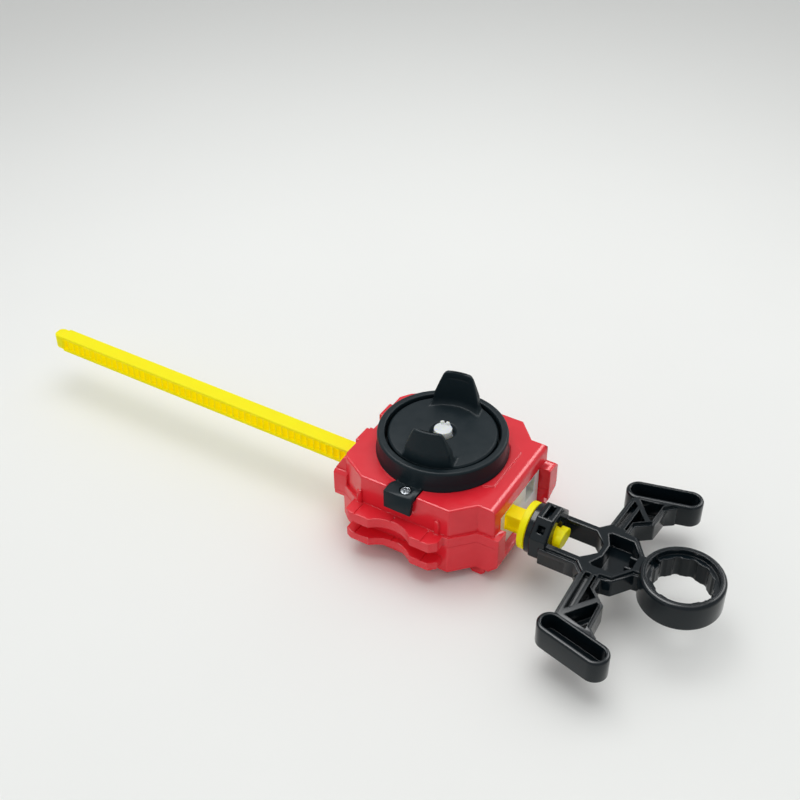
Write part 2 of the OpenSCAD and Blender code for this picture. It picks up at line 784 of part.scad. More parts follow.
module plunger_spring() color(steel) {
    rings = curls * spring_steps;
    points = [for (i = [0 : rings]) each spring_ring(i / spring_steps)];
    sides = [for (i = [0 : rings - 1], k = [0 : spring_sides - 1]) let(
            a = i * spring_sides + k, b = i * spring_sides + (k + 1) % spring_sides)
        each [[a, b, b + spring_sides], [a, b + spring_sides, a + spring_sides]]];
    last = rings * spring_sides;
    caps = [for (k = [1 : spring_sides - 2])
        each [[0, k + 1, k], [last, last + k, last + k + 1]]];
    polyhedron(points, concat(sides, caps));
}

// One side of the rack, walked along +X with its crests at +Y
rack_first = -floor((cord_reach - pitch) / pitch);
rack_last = floor((right_l - guide_in) / pitch);
slope = tan(pressure_angle);
function rack_side() = [for (k = [rack_first : rack_last]) each [
    [k * pitch - tooth_l / 2 - dedendum * slope, web_y],
    [k * pitch - tooth_l / 2 + addendum * slope, crest_y],
    [k * pitch + tooth_l / 2 - addendum * slope, crest_y],
    [k * pitch + tooth_l / 2 + dedendum * slope, web_y]]];
function mirrored(points) = [for (i = [len(points) - 1 : -1 : 0]) [points[i][0], -points[i][1]]];

module along_x(x0, x1, r) translate([x0, 0, 0]) rotate([0, 90, 0]) cylinder(r = r, h = x1 - x0);

module ripcord() color(yellow) translate([0, cord_y, cord_z]) {
    h = cord_h / 2;
    w = cord_w / 2;
    translate([0, 0, -h]) linear_extrude(cord_h) polygon(concat(
        [[-cord_reach, -web_y], [-cord_reach, web_y]], rack_side(),
        [[neck_x, web_y], [neck_x, -web_y]], mirrored(rack_side())));
    for (z = [-h, h - flange_t])
        translate([-cord_reach, -w, z]) cube([neck_x + cord_reach, cord_w, flange_t]);
    translate([right_l - guide_in, -neck_w / 2, -h]) cube([neck_x - right_l + guide_in, neck_w, cord_h]);
    tongue();
    plug();
}

// The rounded tongue that finds the channel
module tongue() {
    w = cord_w / 2 - 0.6;
    h = cord_h - 1.6;
    translate([-cord_reach - tongue_l + w, 0, -h / 2]) cylinder(r = w, h = h);
    translate([-cord_reach - tongue_l + w, -w, -h / 2]) cube([tongue_l - w + eps, 2 * w, h]);
}

// The flange, the round plug and the cross bar that locks behind the collar
module plug() {
    along_x(neck_x - eps, neck_x + plug_flange_t, plug_flange_r);
    along_x(neck_x, collar_end - collar_wall - twist_gap, plug_r);
    along_x(neck_x, collar_end + twist_gap + bar_t, stem_r);
    bar(collar_end + twist_gap, bar_t, 0);
}

// A bar with round ends along Y, grown by gap
module bar(x, t, gap) {
    reach = bar_half - bar_r;
    for (side = [-1, 1]) translate([0, side * reach, 0]) along_x(x, x + t, bar_r + gap);
    translate([x, -reach, -bar_r - gap]) cube([t, 2 * reach, 2 * (bar_r + gap)]);
}

// Half of the handle's frame on the +Y side, walked from the collar to the tool ring
frame_half = [[collar_end - 2.2, beam_y], [arm_x0 - 2.9, beam_y], [arm_x0 - 0.2, root_y + 3.6],
    [arm_x0, pad_reach], [arm_x1 + 3.2, pad_reach], [arm_x1 + 3.2, pad_reach - 3.5],
    [arm_x1 + 0.5, pad_reach - 5.9], [arm_x1 + 0.3, root_y + 10.8], [arm_x0 + root_w, root_y + 6.8],
    [arm_x0 + root_w, root_y + 2.6], [neck_end - 5, root_y + 2.2], [neck_end - 0.8, root_y - 3.6],
    [neck_end + 3, root_y - 4]];
frame_outline = concat(frame_half, mirrored(frame_half));

// Halves of the openings in the frame: the window and the tray of the hub
window_half = [[collar_end, 0], [collar_end, window_y], [hub_x - 4, window_y], [hub_x - 1.6, window_y - 2.4],
    [hub_x, 1.8], [hub_x, 0]];
tray_half = [[hub_x + 1.9, 0], [hub_x + 1.9, 2.6], [hub_x - 0.2, root_y - 1.2], [hub_x + 0.6, root_y - 0.6],
    [neck_end - 5.6, root_y - 0.6], [neck_end - 2, 2.8], [neck_end - 2, 0]];

// Hollows of an arm: a shallow channel, a deep pocket, one past the rib, and a hole through its floor
arm_channel = [[arm_x0 + 1.8, root_y + 2.8], [arm_x0 + 3.5, root_y + 2.8], [arm_x0 + 3.7, pad_reach - 9.9],
    [arm_x0 + 1.9, pad_reach - 8.1]];
arm_pocket = [[arm_x0 + 4.6, root_y + 2.8], [arm_x0 + root_w - 1.2, root_y + 2.8],
    [arm_x0 + root_w - 1.2, root_y + 7.3], [arm_x1 - 2.5, root_y + 10], [arm_x0 + 4.7, pad_reach - 11.2]];
arm_outer = [[arm_x0 + 2.9, pad_reach - 6.3], [arm_x1 - 1.6, root_y + 11.4], [arm_x1 - 0.9, root_y + 11.6],
    [arm_x1 - 0.7, pad_reach - 4.6]];
arm_hole = [[arm_x1 - 4.4, pad_reach - 7.5], [arm_x1 - 1.6, root_y + 14], [arm_x1 - 1.3, pad_reach - 5.5],
    [arm_x1 - 4.4, pad_reach - 6.2]];

// A closed outline drawn in by d on all sides
function unit(v) = v / norm(v);
function inset(points, d) = let(n = len(points)) [for (i = [0 : n - 1]) let(
        u = unit(points[i] - points[(i + n - 1) % n]),
        v = unit(points[(i + 1) % n] - points[i]),
        a = [u[1], -u[0]],
        b = [v[1], -v[0]])
    points[i] + (a + b) * d / (1 + a * b)];

module both_sides() for (side = [0, 1]) mirror([0, side, 0]) children();

// A pad's stadium outline, drawn in by inset
module pad_plan(inset) {
    r = pad_w / 2 - inset;
    run = pad_l / 2 - pad_w / 2;
    translate([pad_x, pad_reach]) rotate(pad_splay) {
        for (end = [-run, run]) translate([end, 0]) circle(r = r);
        translate([-run, -r]) square([2 * run, 2 * r]);
    }
}

// The arms' section across the cord, which drops from the hub to the pads
module arm_section(lift, sink) {
    hub_top = frame_t / 2 - frame_drop;
    hub_low = -frame_t / 2 - frame_drop;
    pad_top = pad_h / 2 - pad_drop;
    pad_low = -pad_h / 2 - pad_drop;
    root = root_y + 3;
    far = pad_reach - pad_w / 2;
    end = pad_reach + cut;
    translate([arm_x0 - 4, 0, 0]) rotate([90, 0, 90]) linear_extrude(arm_x1 - arm_x0 + 10)
        polygon([[0, hub_top + lift], [root, hub_top + lift], [far, pad_top + lift], [end, pad_top + lift],
            [end, pad_low + sink], [far, pad_low + sink], [root, hub_low + sink], [0, hub_low + sink]]);
}

// The flat middle of the frame, between the collar and the tool ring, drawn in by narrow
module hub_solid(narrow, h) linear_extrude(h) intersection() {
    polygon(inset(frame_outline, narrow));
    translate([collar_end - 3, -root_y - 3]) square([neck_end - collar_end + 8, 2 * root_y + 6]);
}

module upright(points) translate([0, 0, -2 * frame_t]) linear_extrude(4 * frame_t) polygon(points);

module arms_solid(narrow, lift) both_sides() intersection() {
    arm_section(lift, 0);
    upright(inset(frame_outline, narrow));
    translate([arm_x0 - 4, root_y, -2 * frame_t]) cube([arm_x1 - arm_x0 + 10, pad_reach, 4 * frame_t]);
}

module arm_hollows() both_sides() {
    intersection() {
        arm_section(frame_t, frame_t - channel_d);
        upright(arm_channel);
    }
    intersection() {
        arm_section(frame_t, web_t);
        union() {
            upright(arm_pocket);
            upright(arm_outer);
        }
    }
    upright(arm_hole);
}

// Two short ribs in the hub's tray, towards the tool ring
module tray_ribs() {
    rib_l = 3.1;
    rib_w = 0.9;
    rib_y = 2.2;
    low = -frame_t / 2 - frame_drop + web_t - eps;
    both_sides() translate([neck_end - 1.5 - rib_l, rib_y - rib_w / 2, low])
        cube([rib_l, rib_w, frame_t - web_t - ledge_d]);
}

module collar_band() translate([band_x, 0, 0]) rotate([0, 90, 0]) rotate(180 / 8)
    cylinder(r = band_r / cos(180 / 8), h = band_l, $fn = 8);

module handle() color(black) translate([0, cord_y, cord_z]) {
    low = -frame_t / 2 - frame_drop;
    pad_low = -pad_h / 2 - pad_drop;
    difference() {
        union() {
            along_x(collar_x, collar_end, collar_r);
            collar_band();
            translate([0, 0, low]) hub_solid(0, frame_t - ledge_d);
            translate([0, 0, low]) hub_solid(ledge_w, frame_t);
            arms_solid(0, -ledge_d);
            arms_solid(ledge_w, 0);
            translate([0, 0, pad_low]) linear_extrude(pad_h) both_sides() pad_plan(0);
            translate([tool_x, 0, low]) cylinder(r = tool_r, h = tool_h);
        }
        along_x(collar_x - cut, collar_end - collar_wall, plug_r + run_gap);
        along_x(collar_x, collar_end + cut, stem_r + twist_gap);
        rotate([90, 0, 0]) bar(collar_end - collar_wall - cut, collar_wall + 2 * cut, twist_gap);
        collar_slots();
        translate([0, 0, low - cut]) linear_extrude(frame_t + 2 * cut) both_sides() polygon(window_half);
        translate([0, 0, low + web_t]) linear_extrude(frame_t) both_sides() polygon(tray_half);
        arm_hollows();
        translate([0, 0, pad_low + web_t]) linear_extrude(pad_h) both_sides() pad_plan(rib_t);
        translate([tool_x, 0, low]) tool_ring_bore();
    }
    tray_ribs();
}

// A slot on top of the collar and a square hole beside it
module collar_slots() {
    slot_l = 5.6;
    slot_w = 1.6;
    hole = 2.2;
    x = band_x + band_l / 2;
    for (turn = [0, 180]) rotate([turn, 0, 0]) {
        translate([x - slot_w / 2, -slot_l / 2, plug_r]) cube([slot_w, slot_l, collar_r]);
        rotate([45, 0, 0]) translate([x - hole / 2, -hole / 2, plug_r]) cube([hole, hole, collar_r]);
    }
}

// The stepped bore of the tool ring above its underside, with scallops and two notches
module tool_ring_bore() {
    lobe_r = 1.7;
    lobe_in = 0.5;
    step = 1.8;
    notch = 3;
    notch_d = 1.6;
    rod(tool_bore_r - lobe_in, -cut, tool_h);
    rod(tool_r - tool_rim, tool_h - step, tool_h + cut);
    for (k = [0 : tool_lobes - 1]) rotate([0, 0, 360 * k / tool_lobes])
        translate([tool_bore_r - lobe_r, 0, 0]) rod(lobe_r, -cut, tool_h);
    rotate([0, 0, 165]) translate([-tool_r + tool_rim, -notch / 2, tool_h - step - notch_d])
        cube([2 * (tool_r - tool_rim), notch, step + notch_d + cut]);
}

base_shell();
face_shell();
casing_screws();
collar_ring();
collar_screw();
guide_lower();
guide_upper();
guide_screws();
lower_bush();
upper_bush();
thrust_washer();
lower_washer();
spindle();
drive_pinion();
spindle_clip();
launch_disc();
plunger();
plunger_spring();
ripcord();
handle();
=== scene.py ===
"""Looks of a rip-cord launcher for spinning tops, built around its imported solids.

Lengths in the functions are millimetres in the part's own frame, and meshes are in metres.
"""

import math

import bmesh
import bpy
import numpy as np
from bpy.props import FloatProperty, FloatVectorProperty, PointerProperty
from mathutils import Matrix, Vector


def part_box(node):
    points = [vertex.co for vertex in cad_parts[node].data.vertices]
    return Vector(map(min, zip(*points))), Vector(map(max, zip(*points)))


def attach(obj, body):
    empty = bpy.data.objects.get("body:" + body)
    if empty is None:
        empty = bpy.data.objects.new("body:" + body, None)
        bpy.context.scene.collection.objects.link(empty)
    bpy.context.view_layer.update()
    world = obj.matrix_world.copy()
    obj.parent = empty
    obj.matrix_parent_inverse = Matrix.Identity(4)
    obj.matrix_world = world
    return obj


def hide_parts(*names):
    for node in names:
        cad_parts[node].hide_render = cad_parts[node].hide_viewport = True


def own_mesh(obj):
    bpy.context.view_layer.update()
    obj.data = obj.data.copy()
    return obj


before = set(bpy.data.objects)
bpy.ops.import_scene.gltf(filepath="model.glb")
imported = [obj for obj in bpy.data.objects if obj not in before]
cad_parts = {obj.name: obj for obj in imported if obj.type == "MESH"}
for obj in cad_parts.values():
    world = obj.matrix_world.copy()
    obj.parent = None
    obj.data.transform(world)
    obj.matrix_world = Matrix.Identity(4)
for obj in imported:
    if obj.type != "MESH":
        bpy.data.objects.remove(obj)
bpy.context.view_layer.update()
MM = 0.001

bl_info = {
    "name": "Spinning Top Launcher",
    "version": (1, 0, 0),
    "blender": (4, 5, 0),
    "location": "View3D > Sidebar > Launcher",
    "description": "Dresses the solids of a rip-cord launcher with moulded surfaces and finishes",
    "category": "Object",
}


# Solids that the pieces are fitted to, in mm

def mm_box(node):
    """The lowest and the highest corner of a CAD node in mm."""
    return [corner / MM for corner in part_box(node)]


CORD_LOW, CORD_HIGH = mm_box("ripcord")
# The guide's halves meet at the height of the cord's middle line.
CORD_AXIS = ((CORD_LOW.y + CORD_HIGH.y) / 2, mm_box("guide_upper")[0].z)
# The tool ring at the handle's end
RING_R = 12.5
RING_AT = (mm_box("handle")[1].x - RING_R, CORD_AXIS[0])
RING_TOP = CORD_AXIS[1] + 4.0
# A pad: its middle along and beside the cord, its splay, half its straight run and half its width
PAD_AT = (64.5, 33.5)
PAD_SPLAY = math.radians(14)
PAD_RUN, PAD_R = 7.9, 4.1
PAD_LOW = CORD_AXIS[1] - 7.7
PAD_TOP = PAD_LOW + 7.8


def linear(colour):
    """Linear RGB of an sRGB hex value: a straight part near black, then a power of 2.4."""
    srgb = np.array([int(colour[i:i + 2], 16) for i in (1, 3, 5)]) / 255
    return tuple(np.where(srgb <= 0.04045, srgb / 12.92, ((srgb + 0.055) / 1.055) ** 2.4))


def shade(colour, factor):
    """The colour made lighter or darker by a factor, with full opacity."""
    return tuple(min(1.0, c * factor) for c in colour[:3]) + (1.0,)


def per_mm(size):
    """Texture scale, in Object coordinates, whose features are about size millimetres."""
    return 1.0 / (size * MM)


# Sizes and colours that a user may change

def edge_size(name, description, millimetres):
    """A radius that the sidebar shows, given in mm."""
    return FloatProperty(name=name, description=description, default=millimetres * MM, min=0.0,
                         soft_max=0.004, precision=5, unit="LENGTH", subtype="DISTANCE")


def finish_colour(name, description, colour):
    """A colour that the sidebar shows, given as an sRGB hex value."""
    return FloatVectorProperty(name=name, description=description, default=linear(colour), size=3,
                               min=0.0, max=1.0, subtype="COLOR")


class LauncherSizes(bpy.types.PropertyGroup):
    """Radii of the moulded edges"""
    casing_edge: edge_size("Casing edges", "Radius of the casing's moulded edges", 0.38)
    casing_top: edge_size("Casing top edges", "Radius of the edges around the casing's top", 0.6)
    casing_end: edge_size("Casing end edge", "Radius of the top edge over the end window", 2.2)
    seam_edge: edge_size("Seam", "Radius of the edges along the parting seam", 0.14)
    collar_edge: edge_size("Collar ring edges", "Radius of the collar ring's edges", 0.3)
    tab_fold: edge_size("Tab fold", "Outer radius of the collar tab's fold", 1.9)
    handle_edge: edge_size("Handle edges", "Radius of the handle's moulded edges", 0.4)
    tooth_edge: edge_size("Tooth edge", "Radius of the edges of the drive pinion's teeth", 0.06)
    cord_edge: edge_size("Cord edges", "Radius of the cord's edges", 0.14)
    guide_edge: edge_size("Guide edges", "Radius of the rack guide's edges", 0.2)


class LauncherColours(bpy.types.PropertyGroup):
    """Colours of the finishes"""
    red: finish_colour("Casing red", "Moulded ABS of the casing", "#E52432")
    black: finish_colour("Launch head black", "Grained ABS of the collar ring and the disc", "#182328")
    gloss_black: finish_colour("Handle black", "Polished ABS of the handle", "#0C161B")
    yellow: finish_colour("Cord yellow", "Moulded nylon of the rip cord", "#FDEE02")
    white: finish_colour("White", "Moulded acetal of the guide, the pinion and the plunger", "#DFE3E2")
    steel: finish_colour("Steel", "Zinc-plated steel of the screws and the spindle", "#8E9296")
    brass: finish_colour("Brass", "Turned brass of the bushes", "#C9A24B")
    paper: finish_colour("Floor", "Paper sweep that the launcher stands on", "#ECEDEA")


# Finishes

def add(tree, kind, inputs=(), **settings):
    """Adds one node, makes its settings, and fills its inputs with values or with links from sockets."""
    node = tree.nodes.new("ShaderNode" + kind)
    for key, value in settings.items():
        setattr(node, key, value)
    for key, value in dict(inputs).items():
        if isinstance(value, bpy.types.NodeSocket):
            tree.links.new(value, node.inputs[key])
        else:
            node.inputs[key].default_value = value
    return node


def empty_material(name):
    """A new material with an output node only, and its tree."""
    material = bpy.data.materials.new(name)
    material.use_nodes = True
    tree = material.node_tree
    tree.nodes.clear()
    return material, tree, add(tree, "OutputMaterial")


def moulded_plastic(name, colour, rough, shine, grain, depth, scuffs, mottle=0.06, glow=0.0, painted_glow=0.0,
                    edge=0.35):
    """A moulded plastic: its colour drifts a little as it flowed in the mould, its gloss follows the
    mould's polish and its shine, a grain of that size in mm and of that depth in mm catches the light,
    and fine hairlines from handling show where scuffs is above 0. Glow is its share of light that spreads
    under the skin. Its hollows may get a painted glow of the strength given for it: emission that grows as
    the ambient occlusion deepens, so the shade there is painted lighter. Its corners shade
    as rounded by the radius edge in mm."""
    material, tree, out = empty_material(name)
    place = add(tree, "TexCoord").outputs["Object"]
    flow = add(tree, "TexNoise", {"Vector": place, "Scale": per_mm(9.0), "Detail": 3.0,
                                  "Distortion": 0.8})
    tint = add(tree, "Mix", {"Factor": flow.outputs["Fac"], "A": shade(colour, 1 - mottle),
                             "B": shade(colour, 1 + mottle)}, data_type="RGBA")
    polish = add(tree, "TexNoise", {"Vector": place, "Scale": per_mm(3.0), "Detail": 4.0,
                                    "Roughness": 0.6})
    gloss = add(tree, "MapRange", {"Value": polish.outputs["Fac"], "From Min": 0.3, "From Max": 0.7,
                                   "To Min": rough * 0.86, "To Max": rough * 1.14})
    stretched = add(tree, "Mapping", {"Vector": place, "Rotation": (0.3, 0.5, 0.6),
                                      "Scale": (1.0, 14.0, 14.0)})
    hair = add(tree, "TexNoise", {"Vector": stretched.outputs["Vector"], "Scale": per_mm(16.0),
                                  "Detail": 5.0, "Roughness": 0.7})
    lines = add(tree, "MapRange", {"Value": hair.outputs["Fac"], "From Min": 0.62, "From Max": 0.74,
                                   "To Min": 0.0, "To Max": scuffs})
    worn = add(tree, "Mix", {"Factor": lines.outputs["Result"], "A": tint.outputs["Result"],
                             "B": shade(tuple(0.7 * c + 0.1 for c in colour), 1.0)}, data_type="RGBA")
    rougher = add(tree, "Math", {0: gloss.outputs["Result"], 1: lines.outputs["Result"]}, operation="ADD",
                  use_clamp=True)
    spark = add(tree, "TexNoise", {"Vector": place, "Scale": per_mm(grain), "Detail": 2.0})
    rounded = add(tree, "Bevel", {"Radius": edge * MM}, samples=4)
    relief = add(tree, "Bump", {"Height": spark.outputs["Fac"], "Strength": 1.0, "Distance": depth * MM,
                                "Normal": rounded.outputs["Normal"]})
    shader = add(tree, "BsdfPrincipled", {
        "Base Color": worn.outputs["Result"], "Roughness": rougher.outputs["Value"],
        "Normal": relief.outputs["Normal"], "Specular IOR Level": shine})
    if glow:
        shader.inputs["Subsurface Weight"].default_value = glow
        shader.inputs["Subsurface Radius"].default_value = (1.0, 0.8, 0.25)
        shader.inputs["Subsurface Scale"].default_value = 1.6 * MM
    if painted_glow:
        # Painted glow in the hollows where ambient occlusion finds shade: emission that lightens that shade,
        # in a slightly deeper yellow.
        painted_glow_colour = (colour[0], colour[1] * 0.78, colour[2] * 0.5)
        hollow = add(tree, "AmbientOcclusion", {"Distance": 3.0 * MM}, samples=6)
        painted_glow_strength = add(tree, "MapRange", {"Value": hollow.outputs["AO"], "From Min": 0.95, "From Max": 0.2,
                                         "To Min": 0.0, "To Max": painted_glow})
        tree.links.new(painted_glow_strength.outputs["Result"], shader.inputs["Emission Strength"])
        shader.inputs["Emission Color"].default_value = shade(painted_glow_colour, 1.0)
    tree.links.new(shader.outputs["BSDF"], out.inputs["Surface"])
    return material


def turned_metal(name, colour, rough, ring, depth):
    """A turned or plated metal: fine tool rings across Z of that spacing and depth in mm, and a
    gloss that varies in soft patches."""
    material, tree, out = empty_material(name)
    place = add(tree, "TexCoord").outputs["Object"]
    patches = add(tree, "TexNoise", {"Vector": place, "Scale": per_mm(1.4), "Detail": 4.0})
    gloss = add(tree, "MapRange", {"Value": patches.outputs["Fac"], "From Min": 0.3, "From Max": 0.7,
                                   "To Min": rough * 0.75, "To Max": rough * 1.3})
    tint = add(tree, "Mix", {"Factor": patches.outputs["Fac"], "A": shade(colour, 0.9),
                             "B": shade(colour, 1.06)}, data_type="RGBA")
    # A wave's phase is 20 radians for each unit of scaled length, so one ring takes 2 pi / 20 = 0.314.
    rings = add(tree, "TexWave", {"Vector": place, "Scale": per_mm(ring) * 0.314, "Distortion": 0.4,
                                  "Detail": 1.0}, wave_type="BANDS", bands_direction="Z")
    relief = add(tree, "Bump", {"Height": rings.outputs["Fac"], "Strength": 0.6, "Distance": depth * MM})
    shader = add(tree, "BsdfPrincipled", {
        "Base Color": tint.outputs["Result"], "Roughness": gloss.outputs["Result"],
        "Normal": relief.outputs["Normal"], "Metallic": 1.0})
    tree.links.new(shader.outputs["BSDF"], out.inputs["Surface"])
    return material


def finish(name):
    """The material of that name, made when it is first asked for."""
    colours = bpy.context.scene.launcher_colours
    makers = {
        # Polished ABS from a bright mould: clear highlights on a full red, with a faint orange peel.
        "abs_red_moulded": lambda n: moulded_plastic(
            n, colours.red, 0.22, 0.48, 1.4, 0.0012, 0.03, edge=0.32),
        # ABS from a spark-eroded mould: a fine even grain that turns highlights to a soft grey sheen.
        # The real grain of about 0.05 mm is too fine to show, so it is drawn at 0.35 mm.
        "abs_black_eroded": lambda n: moulded_plastic(
            n, colours.black, 0.38, 0.12, 0.35, 0.003, 0.04),
        # ABS from a polished mould: deep black with crisp highlights along the edges, and light scuffs.
        "abs_black_polished": lambda n: moulded_plastic(
            n, colours.gloss_black, 0.16, 0.28, 0.9, 0.0008, 0.04, edge=0.5),
        # Unfilled nylon: a waxy gloss, light that spreads a little under the skin, and a painted glow that
        # lightens the shade in its hollows.
        "nylon_yellow_moulded": lambda n: moulded_plastic(
            n, colours.yellow, 0.4, 0.1, 0.8, 0.002, 0.0, mottle=0.02, glow=0.5, painted_glow=0.2),
        # Acetal: milky white, smooth and slightly greasy to the touch.
        "acetal_white_moulded": lambda n: moulded_plastic(
            n, colours.white, 0.34, 0.4, 0.6, 0.002, 0.0, mottle=0.02, glow=0.3),
        # Bright zinc plating over rolled steel: silvery, with soft bluish-grey patches.
        "steel_zinc_plated": lambda n: turned_metal(n, colours.steel, 0.3, 0.25, 0.004),
        # Brass off the lathe: warm yellow with fine tool rings.
        "brass_turned": lambda n: turned_metal(n, colours.brass, 0.26, 0.2, 0.004),
    }
    return bpy.data.materials.get(name) or makers[name](name)


def dress(piece, material, body, *nodes):
    """Gives a piece its finish, lets it ride on its body and stand for its nodes."""
    piece.data.materials.clear()
    piece.data.materials.append(finish(material))
    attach(piece, body)
    if nodes:
        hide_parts(*nodes)
    return piece


# Meshes

def piece_from(name, points, quads):
    """An object at the origin from points in mm and quads: doubles are merged, so seams and poles
    close, and the faces are turned outwards."""
    mesh = bpy.data.meshes.new(name)
    flat = np.asarray(points, float).reshape(-1, 3) * MM
    mesh.from_pydata(flat.tolist(), [], np.asarray(quads).tolist())
    work = bmesh.new()
    work.from_mesh(mesh)
    bmesh.ops.remove_doubles(work, verts=work.verts, dist=1e-7)
    bmesh.ops.recalc_face_normals(work, faces=work.faces)
    work.to_mesh(mesh)
    work.free()
    mesh.shade_smooth()
    piece = bpy.data.objects.new(name, mesh)
    bpy.context.scene.collection.objects.link(piece)
    return piece


def grid_quads(rows, columns, first=0, close_rows=False):
    """Quads between neighbouring points of a grid numbered row by row, whose rows are closed loops.
    With close_rows the last row joins the first."""
    row = np.arange(rows if close_rows else rows - 1)[:, None]
    column = np.arange(columns)[None, :]
    next_row, next_column = (row + 1) % rows, (column + 1) % columns
    corners = (row * columns + column, row * columns + next_column,
               next_row * columns + next_column, next_row * columns + column)
    return np.stack(np.broadcast_arrays(*corners), -1).reshape(-1, 4) + first


def joined(parts):
    """Points and quads of several grids as one mesh. Each is given as its points, in an array of rows by
    columns by 3, and close_rows."""
    points, quads, first = [], [], 0
    for grid, close_rows in parts:
        rows, columns = grid.shape[:2]
        points.append(grid.reshape(-1, 3))
        quads.append(grid_quads(rows, columns, first, close_rows))
        first += rows * columns
    return np.concatenate(points), np.concatenate(quads)


def filleted(corners, steps=6):
    """A closed outline from corners (a, b, radius): each corner becomes an arc that touches both sides.
    Its middle lies on the corner's bisector at radius / sin(half angle), and the arc turns from one
    touching point to the other by spherical interpolation."""
    corners = np.asarray(corners, float)
    at, radius = corners[:, :2], np.maximum(corners[:, 2:], 1e-4)
    unit = lambda v: v / np.linalg.norm(v, axis=-1, keepdims=True)
    back, ahead = unit(np.roll(at, 1, 0) - at), unit(np.roll(at, -1, 0) - at)
    half = np.arccos(np.clip((back * ahead).sum(-1, keepdims=True), -0.9999, 0.9999)) / 2
    middle = at + unit(back + ahead) * radius / np.sin(half)
    start = at + back * radius / np.tan(half) - middle
    end = at + ahead * radius / np.tan(half) - middle
    turn = (math.pi - 2 * half)[:, None]
    s = np.linspace(0, 1, steps)[None, :, None]
    arc = (np.sin((1 - s) * turn) * start[:, None] + np.sin(s * turn) * end[:, None]) / np.sin(turn)
    return (middle[:, None] + arc).reshape(-1, 2)


def revolved(profile, steps=160):
    """A profile of (radius, height) points turned about the Z axis: x = r cos t, y = r sin t."""
    t = np.linspace(0, 2 * math.pi, steps, endpoint=False)
    r, z = np.asarray(profile, float)[:, :1], np.asarray(profile, float)[:, 1:]
    return np.stack([r * np.cos(t), r * np.sin(t), z + 0 * t], -1)


def drawn_out(profile, run, steps=40):
    """A turned surface parted at its middle and drawn out along X into a stadium: x = r cos t + run on the
    half towards +X and r cos t - run on the other, y = r sin t."""
    half = np.linspace(-math.pi / 2, math.pi / 2, steps)
    t, shift = np.concatenate([half, half + math.pi]), np.repeat([run, -run], steps)
    r, z = np.asarray(profile, float)[:, :1], np.asarray(profile, float)[:, 1:]
    return np.stack([r * np.cos(t) + shift, r * np.sin(t), z + 0 * t], -1)


def rounded_loop(half_a, half_b, radius, steps):
    """Points around a rectangle of half sizes a and b with round corners, as arrays over the rows of its
    inputs. A corner is a quarter circle about its own middle, and straight sides join the corners."""
    quarter = np.linspace(0, math.pi / 2, steps)
    angle = np.concatenate([quarter + k * math.pi / 2 for k in range(4)])
    sign_a = np.repeat([1, -1, -1, 1], steps)
    sign_b = np.repeat([1, 1, -1, -1], steps)
    a = sign_a * (half_a - radius) + radius * np.cos(angle)
    b = sign_b * (half_b - radius) + radius * np.sin(angle)
    return a, b


def capped(rows):
    """A tube of rows closed at both ends by a row that lies at the middle of its neighbour."""
    ends = [np.broadcast_to(row.mean(0), row.shape)[None] for row in (rows[0], rows[-1])]
    return np.concatenate([ends[0], rows, ends[1]])


def smooth(value, width):
    """0 below 0, 1 above width, and a smooth cubic between."""
    t = np.clip(value / width, 0, 1)
    return t * t * (3 - 2 * t)


def subdivided(loop, parts=5):
    """Puts evenly spaced points between neighbours of closed rows."""
    share = np.arange(parts) / parts
    ahead = np.roll(loop, -1, -1)
    return (loop[..., None] * (1 - share) + ahead[..., None] * share).reshape(*loop.shape[:-1], -1)


def merged_copy(node, name):
    """A copy of a CAD node's mesh with its loose triangles merged and its flat faces made whole."""
    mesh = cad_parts[node].data.copy()
    mesh.name = name
    work = bmesh.new()
    work.from_mesh(mesh)
    bmesh.ops.remove_doubles(work, verts=work.verts, dist=2e-6)
    bmesh.ops.dissolve_limit(work, angle_limit=math.radians(0.6), verts=work.verts, edges=work.edges)
    work.to_mesh(mesh)
    work.free()
    mesh.shade_smooth()
    piece = bpy.data.objects.new(name, mesh)
    bpy.context.scene.collection.objects.link(piece)
    return piece


def values(items, field, kind, width=1):
    """One field of a mesh's items as an array."""
    array = np.empty(len(items) * width, kind)
    items.foreach_get(field, array)
    return array.reshape(-1, width) if width > 1 else array


def nearest(points, anchors):
    """The nearest anchor of each point and its distance. The squared distance is p p - 2 p a + a a, and
    the first term is the same for all anchors of a point."""
    square = (anchors ** 2).sum(-1)
    parts = np.array_split(points, 1 + len(points) // 4000)
    at = np.concatenate([np.argmin(square - 2 * part @ anchors.T, -1) for part in parts])
    return at, np.linalg.norm(points - anchors[at], axis=-1)


def reshaped(piece, change):
    """Moves a piece's points: change takes and gives them as an array in mm."""
    points = change(values(piece.data.vertices, "co", float, 3) / MM)
    piece.data.vertices.foreach_set("co", (points * MM).ravel())
    return piece


